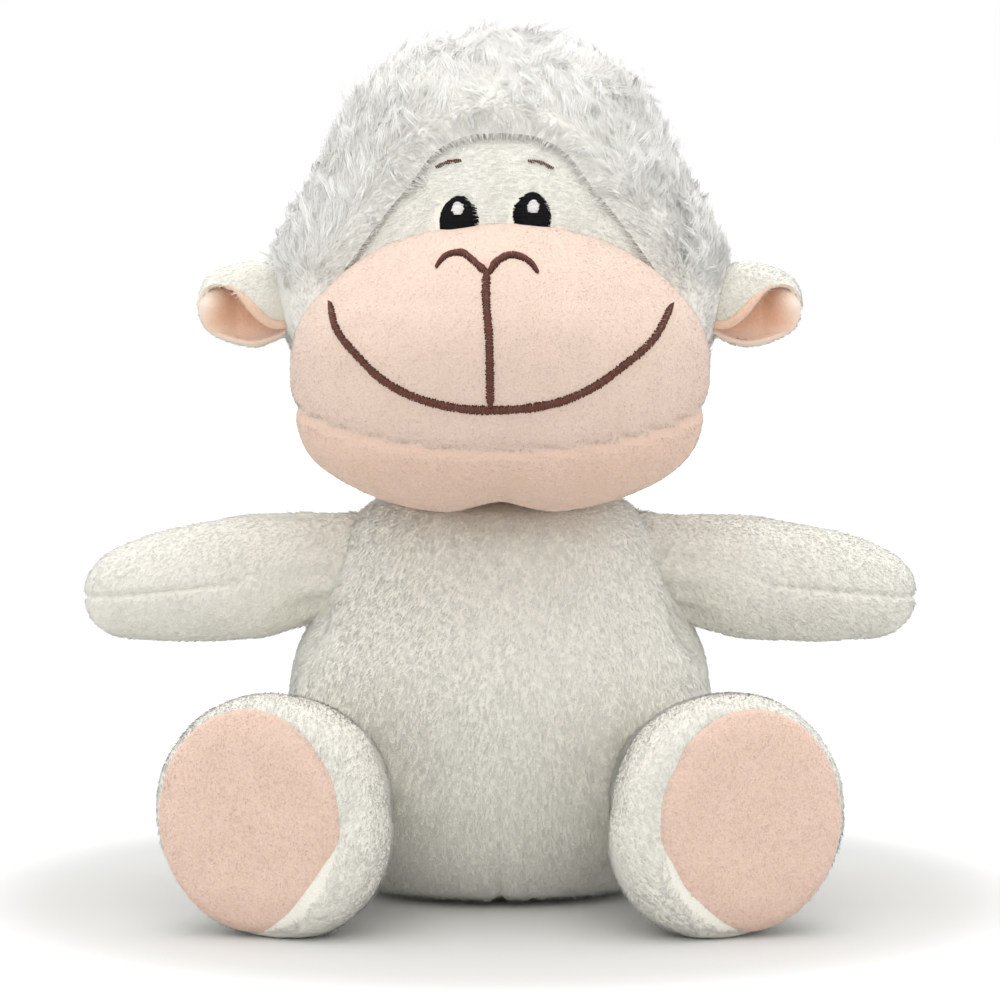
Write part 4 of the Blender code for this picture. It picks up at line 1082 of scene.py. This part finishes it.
def make_wool():
    """The long wool over the head: a lumpy base, and tufts that lie in swirls and end in soft points."""
    form = swollen(WOOL_CENTRE, WOOL, WOOL_LOW, lambda way: WOOL_POWER, 160)
    for v in form.verts:
        v.co.x *= wool_width_share(v.co.z)
    form = moved(form, lambda co: (-1.9 + 0.8 * lumps(co, 10 * MM, 1.0) + 0.3 * lumps(co, 4 * MM, 4.0)) * MM)
    under = np.array([v.co for v in form.verts])
    thin = 1 - eased(from_hairline(under), 0.0, 6 * MM)
    for v, share, edge in zip(form.verts, in_skull(under), thin):
        full = max(share, 1.045)
        v.co = SKULL_CENTRE + (v.co - SKULL_CENTRE) * (full + (min(full, 1.06) - full) * edge) / share
    form = cut_form(outward(form), prism(hairline(), SKULL_CENTRE.y - 6 * MM, -0.12), "DIFFERENCE")
    base = keep("wool_base", outward(form), LOOKS["wool_cloth"], "head")
    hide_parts("wool_cap")

    def grows(places):
        clear = (in_skull(places) > 1.04) & (in_muzzle(places) > 0.97) & (in_torso(places) > 1.02)
        low = places[:, 2] < TORSO_HEIGHT + 3 * MM
        return clear & ~(low & (np.abs(places[:, 0]) < 16 * MM))

    def lie(places, out, stir):
        """The way that the wool lies, up and back in swirls, and where it is at the hairline or short by the ears."""
        edge = 1 - eased(from_hairline(places), 1.0 * MM, 9 * MM)[:, None]
        inward = unit(np.array((0.0, 0.0, SKULL_CENTRE.z + 0.3 * SKULL.z)) - places) * (1, 0, 1)
        flow = np.array((0.0, 0.15, 0.5)) + 0.9 * drift(places, 14 * MM, 5.0) + stir * rng.normal(size=places.shape)
        flow = flow * (1 - edge) + 1.5 * inward * edge
        front = 1 - eased(places[:, 1:2], SKULL_CENTRE.y - 4 * MM, SKULL_CENTRE.y + 8 * MM)
        short = np.maximum(front, 0.3) * (1 - eased(places[:, 2:3], 136 * MM, 145 * MM))
        return unit(flow - out * np.sum(flow * out, axis=1, keepdims=True)), edge, short

    def in_parts(name, parts, lines, radii, facing, hold, tint):
        """Wool in several pieces, side by side around the head."""
        order = np.argsort(np.arctan2(lines[:, 0, 0], lines[:, 0, 1] - SKULL_CENTRE.y))
        for part, chosen in enumerate(np.array_split(order, parts), 1):
            strands(
                f"{name}_{part}", lines[chosen], radii[chosen], LOOKS["wool"], "head",
                facing=facing[chosen], hold=hold, tint=np.full(len(chosen), tint),
            )

    places, out = roots_on(base, 5.0)
    stay = grows(places)
    places, out = places[stay], out[stay]
    way, edge, short = lie(places, out, 0.3)
    rise = np.maximum(0.3 + 0.1 * rng.normal(size=edge.shape), 0.1) * (1 - 0.5 * short)
    reach = 3.6 * MM * (0.7 + 0.6 * rng.random(edge.shape)) * (1 - 0.3 * edge) * (1 - 0.5 * short)
    lines = np.stack((places - out * 0.3 * MM, places + unit(way + out * rise) * reach), axis=1)
    radii = 0.1 * MM * np.array((1.0, 0.0)) * (0.8 + 0.4 * rng.random(edge.shape))
    in_parts("wool_nap", 4, lines, radii, unit(out + 0.15 * way + 0.05 * rng.normal(size=out.shape)), 1.0, 0.0)

    tuft, out = roots_on(base, 0.05)
    stay = grows(tuft)
    tuft, out = tuft[stay], out[stay]
    way, edge, short = lie(tuft, out, 0.4)
    rise = (0.55 + 0.15 * rng.normal(size=edge.shape)) * (1 - 0.8 * np.maximum(edge, short))
    reach = (6.0 + rng.normal(size=edge.shape)) * MM * (1 - 0.45 * edge) * (1 - 0.75 * short)
    lean = (way * np.cos(rise) + out * np.sin(rise)) * reach
    which = np.repeat(np.arange(len(tuft)), 24)
    up = out[which]
    spread = 0.9 * MM * rng.normal(size=up.shape)
    root = tuft[which] + spread - up * (np.sum(spread * up, axis=1, keepdims=True) + 0.8 * MM)
    pull = 0.3 + 0.5 * rng.random((len(root), 1))
    tip = (root + lean[which]) * (1 - pull) + (tuft + lean)[which] * pull
    tip = root + (tip - root) * (0.7 + 0.35 * rng.random((len(root), 1)))
    middle = (root + tip) / 2 + up * 0.6 * MM + drift(root, 2.5 * MM, 9.0) * 0.8 * MM
    lines = np.stack((root, middle, tip), axis=1)
    radii = 0.08 * MM * (1 - np.linspace(0, 1, 3) ** 2) * (0.7 + 0.6 * rng.random((len(root), 1)))
    in_parts("wool_tufts", 2, lines, radii, up, 0.4, 1.0)


# Ears


EAR_OUTLINE = smooth_line(EAR_HEIGHT_SHARES, np.linspace(0, 1, 80)).T


def ear_sheet(side, inset, shallow=False):
    """A folded leaf: its cross section runs from the lip over the top and the back to the lower rim."""
    bm = bmesh.new()
    bmesh.ops.create_grid(bm, x_segments=48, y_segments=60, size=0.5)
    root = mirrored(EAR_ROOT, side)
    for v in bm.verts:
        along = v.co.x + 0.5
        lip = ear_lip(along)
        angle = lip + (EAR_RIM - lip) * (v.co.y + 0.5)
        v.co = root + ear_spot(side, along, angle, inset, shallow)
    middle = sum((v.co for v in bm.verts), Vector()) / len(bm.verts)
    bm.normal_update()
    if sum(f.normal.dot(f.calc_center_median() - middle) for f in bm.faces) < 0:
        bmesh.ops.reverse_faces(bm, faces=bm.faces)
    return bm


def ear_lip(along):
    """The angle of an ear's lip, low at the root and high near the tip."""
    return EAR_LIP[0] + (EAR_LIP[1] - EAR_LIP[0]) * eased(along, 0.07, 0.87)


def ear_height(along):
    """An ear's height along its length, as a share of its greatest."""
    return np.interp(along, *EAR_OUTLINE)


def ear_spot(side, along, angle, inset, shallow=False):
    """A place on an ear from its root, drawn in by the inset. A shallow one comes forward near the tip."""
    height_share = ear_height(along)
    tall = max(EAR_HALF_HEIGHT * height_share - inset, 0.2 * MM)
    deep = max(EAR_HALF_DEPTH * height_share**0.5 - inset, 0.2 * MM)
    reach = EAR_REACH * along - inset * eased(along, 0.85, 1.0)
    depth = math.cos(angle)
    if shallow and depth < 0:
        depth *= 0.3 - 1.25 * eased(along, 0.58, 0.88) * eased(angle, math.radians(110), math.radians(190))
    return Vector((SIDES[side] * reach, -deep * depth, tall * math.sin(angle)))


def ear_edge(side, shares, at_lip, inset):
    """Places along an ear's lip or its lower rim."""
    places = []
    for along in shares:
        angle = ear_lip(along) + math.radians(3) if at_lip else EAR_RIM
        places.append(mirrored(EAR_ROOT, side) + ear_spot(side, along, angle, inset))
    return places


def roll(name, line, radii, look, body):
    """A soft rolled edge along a line, closed at its ends."""
    curve = bpy.data.curves.new(name, "CURVE")
    curve.dimensions = "3D"
    curve.bevel_depth = 1.0
    curve.bevel_resolution = 4
    curve.use_fill_caps = True
    spline = curve.splines.new("POLY")
    spline.points.add(len(line) - 1)
    for point, place, radius in zip(spline.points, line, radii):
        point.co = (*place, 1.0)
        point.radius = radius
    drawn = bpy.data.objects.new(name + "_line", curve)
    bpy.context.scene.collection.objects.link(drawn)
    bpy.context.view_layer.update()
    mesh = bpy.data.meshes.new_from_object(drawn.evaluated_get(bpy.context.evaluated_depsgraph_get()))
    bpy.data.objects.remove(drawn, do_unlink=True)
    bpy.data.curves.remove(curve)
    bm = bmesh.new()
    bm.from_mesh(mesh)
    bpy.data.meshes.remove(mesh)
    bmesh.ops.remove_doubles(bm, verts=bm.verts, dist=0.001 * MM)
    return keep(name, outward(bm), look, body)


def make_ears():
    """A white leaf and its peach lining on each side, with the lining rolled out over the lip."""
    for side, sign in SIDES.items():
        body = "ear_" + side
        root = np.array(mirrored(EAR_ROOT, side))

        def paleness_and_painted_shade(places):
            """White towards the tip and along the lower rim, as the lining's own colours. Paler over the rest of the
            lower half, as painted light, and deep orange up under the lip, as painted shade.
            """
            own = places - root
            along = np.abs(own[:, 0]) / EAR_REACH
            tall = EAR_HALF_HEIGHT * ear_height(along)
            low = -own[:, 2] / np.maximum(tall, 1 * MM)
            return np.maximum(eased(along + 0.15 * (1 - low), 0.78, 1.15), 0.7 * eased(low, 0.3, 0.95))

        def all_over(places):
            return np.ones(len(places), bool)

        def comb(places):
            return np.tile((sign * 1.0, 0.0, -0.3), (len(places), 1))

        leaf = keep(body + "_leaf", thickened(ear_sheet(side, 0.7 * MM), 0.8 * MM), LOOKS["white_cloth"], body)
        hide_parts(body + "_outer")
        inner = ear_sheet(side, 1.5 * MM, True)
        lining = keep(body + "_peach", thickened(inner, 0.7 * MM), LOOKS["ear_cloth"], body)
        # The lining's tint: deep orange under the lip is painted shade, the paler lower half is painted light, and the
        # pale tip and rim are its own colours.
        mark(lining.data, "tint", paleness_and_painted_shade(np.array([v.co for v in lining.data.vertices])))
        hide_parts(body + "_lining")
        shares = np.linspace(0.0, 0.66, 30)
        radii = (0.35 + 0.75 * (1 - eased(shares, 0.4, 0.66))) * MM
        lip_roll = roll(body + "_lip", ear_edge(side, shares, True, 0.9 * MM), radii, LOOKS["ear_cloth"], body)
        mark(lip_roll.data, "tint", np.full(len(lip_roll.data.vertices), 0.35))
        line = ear_edge(side, np.linspace(0.0, 0.96, 40), False, 1.3 * MM)
        rim_roll = roll(body + "_rim", line, [0.6 * MM] * len(line), LOOKS["ear_cloth"], body)
        mark(rim_roll.data, "tint", np.full(len(rim_roll.data.vertices), 0.7))
        outside = loose(ear_sheet(side, 0.7 * MM))
        inside = ear_sheet(side, 2.2 * MM, True)
        bmesh.ops.reverse_faces(inside, faces=inside.faces)
        inside = loose(inside)
        for name, surface, look, amount, length, lift, tint in (
            ("_leaf_pile", outside, "white_pile", 4.6, 1.6, 0.36, None),
            ("_rim_pile", rim_roll, "ear_pile", 6.0, 0.8, 0.4, lambda places: np.full(len(places), 0.75)),
            ("_peach_pile", inside, "ear_pile", 5.0, 0.9, 0.5, paleness_and_painted_shade),
            ("_lip_pile", lip_roll, "ear_pile", 6.0, 0.8, 0.5, lambda places: np.full(len(places), 0.3)),
        ):
            short_pile(body + name, surface, look, body, comb, all_over, amount, length * MM, 0.09 * MM, lift, tint=tint)
        drop(outside)
        drop(inside)


# Studio


def make_studio():
    """A pale floor that glows white away from the toy as painted light, a white surround, soft light and the camera."""
    bm = bmesh.new()
    bmesh.ops.create_grid(bm, x_segments=1, y_segments=1, size=6.0)
    mesh = bpy.data.meshes.new("floor")
    bm.to_mesh(mesh)
    bm.free()
    floor = bpy.data.objects.new("floor", mesh)
    bpy.context.scene.collection.objects.link(floor)
    look = bpy.data.materials.new("pale_floor")
    look.use_nodes = True
    nodes, links = look.node_tree.nodes, look.node_tree.links
    shader = nodes["Principled BSDF"]
    shader.inputs["Base Color"].default_value = (*FLOOR_COLOUR, 1)
    shader.inputs["Roughness"].default_value = 1.0
    shader.inputs["Specular IOR Level"].default_value = 0.0
    shader.inputs["Emission Color"].default_value = (1, 1, 1, 1)
    # Seen from the camera, the floor glows white from about 0.1 to 0.165 m out from the middle. This is painted light,
    # and it leaves a grey disc of painted shade around the toy's own shadow.
    place = nodes.new("ShaderNodeTexCoord")
    away = nodes.new("ShaderNodeVectorMath")
    away.operation = "LENGTH"
    links.new(place.outputs["Object"], away.inputs[0])
    lift = nodes.new("ShaderNodeMapRange")
    lift.interpolation_type = "SMOOTHSTEP"
    for label, value in (("From Min", 0.1), ("From Max", 0.165), ("To Min", FLOOR_PAINTED_GLOW[0]), ("To Max", FLOOR_PAINTED_GLOW[1])):
        lift.inputs[label].default_value = value
    links.new(away.outputs["Value"], lift.inputs["Value"])
    both = nodes.new("ShaderNodeMath")
    both.operation = "MULTIPLY"
    links.new(seen_directly(nodes, links, 0.0, 1.0), both.inputs[0])
    links.new(lift.outputs["Result"], both.inputs[1])
    links.new(both.outputs[0], shader.inputs["Emission Strength"])
    mesh.materials.append(look)
    world = bpy.data.worlds.new("studio")
    bpy.context.scene.world = world
    world.use_nodes = True
    nodes, links = world.node_tree.nodes, world.node_tree.links
    back = nodes["Background"]
    back.inputs["Color"].default_value = (1, 1, 1, 1)
    links.new(seen_directly(nodes, links, WORLD_LIGHT, 1.0), back.inputs["Strength"])
    for name, (place, size, power) in LAMPS.items():
        lamp = bpy.data.lights.new(name, "AREA")
        lamp.shape = "RECTANGLE"
        lamp.size, lamp.size_y = size
        lamp.energy = power
        obj = bpy.data.objects.new(name, lamp)
        obj.location = place
        aim = Vector((0, 0, 0.09)) - Vector(place)
        obj.rotation_euler = aim.to_track_quat("-Z", "Y").to_euler()
        bpy.context.scene.collection.objects.link(obj)
    lens = bpy.data.cameras.new("camera")
    lens.lens = 186.95
    lens.sensor_width = 36
    lens.clip_start = 0.05
    camera = bpy.data.objects.new("camera", lens)
    camera.location = (0, -1.1833, 0.2050)
    aim = Vector((0, AXIS_Y, 0.09)) - camera.location
    camera.rotation_euler = aim.to_track_quat("-Z", "Y").to_euler()
    bpy.context.scene.collection.objects.link(camera)
    bpy.context.scene.camera = camera
    bpy.context.scene.view_settings.view_transform = "Standard"


def seen_directly(nodes, links, otherwise, strength):
    """One strength for rays from the camera, or by way of gloss or glass, and another for the rest."""
    path = nodes.new("ShaderNodeLightPath")
    first = nodes.new("ShaderNodeMath")
    first.operation = "MAXIMUM"
    links.new(path.outputs["Is Camera Ray"], first.inputs[0])
    links.new(path.outputs["Is Glossy Ray"], first.inputs[1])
    second = nodes.new("ShaderNodeMath")
    second.operation = "MAXIMUM"
    links.new(first.outputs[0], second.inputs[0])
    links.new(path.outputs["Is Transmission Ray"], second.inputs[1])
    pick = nodes.new("ShaderNodeMapRange")
    pick.inputs["To Min"].default_value = otherwise
    pick.inputs["To Max"].default_value = strength
    links.new(second.outputs[0], pick.inputs["Value"])
    return pick.outputs["Result"]


FLOOR_COLOUR = (0.67, 0.67, 0.66)
# The floor's painted glow, near the middle and far out.
FLOOR_PAINTED_GLOW = (0.0, 0.6)
WORLD_LIGHT = 0.89
LAMPS = {
    "key": ((-0.1, -0.75, 0.8), (0.9, 0.8), 1.9),
    "side_left": ((-0.95, -0.3, 0.2), (0.7, 0.7), 1.4),
    "side_right": ((0.95, -0.3, 0.2), (0.7, 0.7), 1.4),
    "top": ((0.0, 0.1, 1.0), (0.9, 0.8), 4.6),
}

make_torso()
make_arms()
make_legs()
make_face()
make_muzzle()
make_embroidery()
make_eyes()
make_wool()
make_ears()
make_studio()
for sides in (3, 5):
    bpy.data.objects.remove(ring(sides), do_unlink=True)
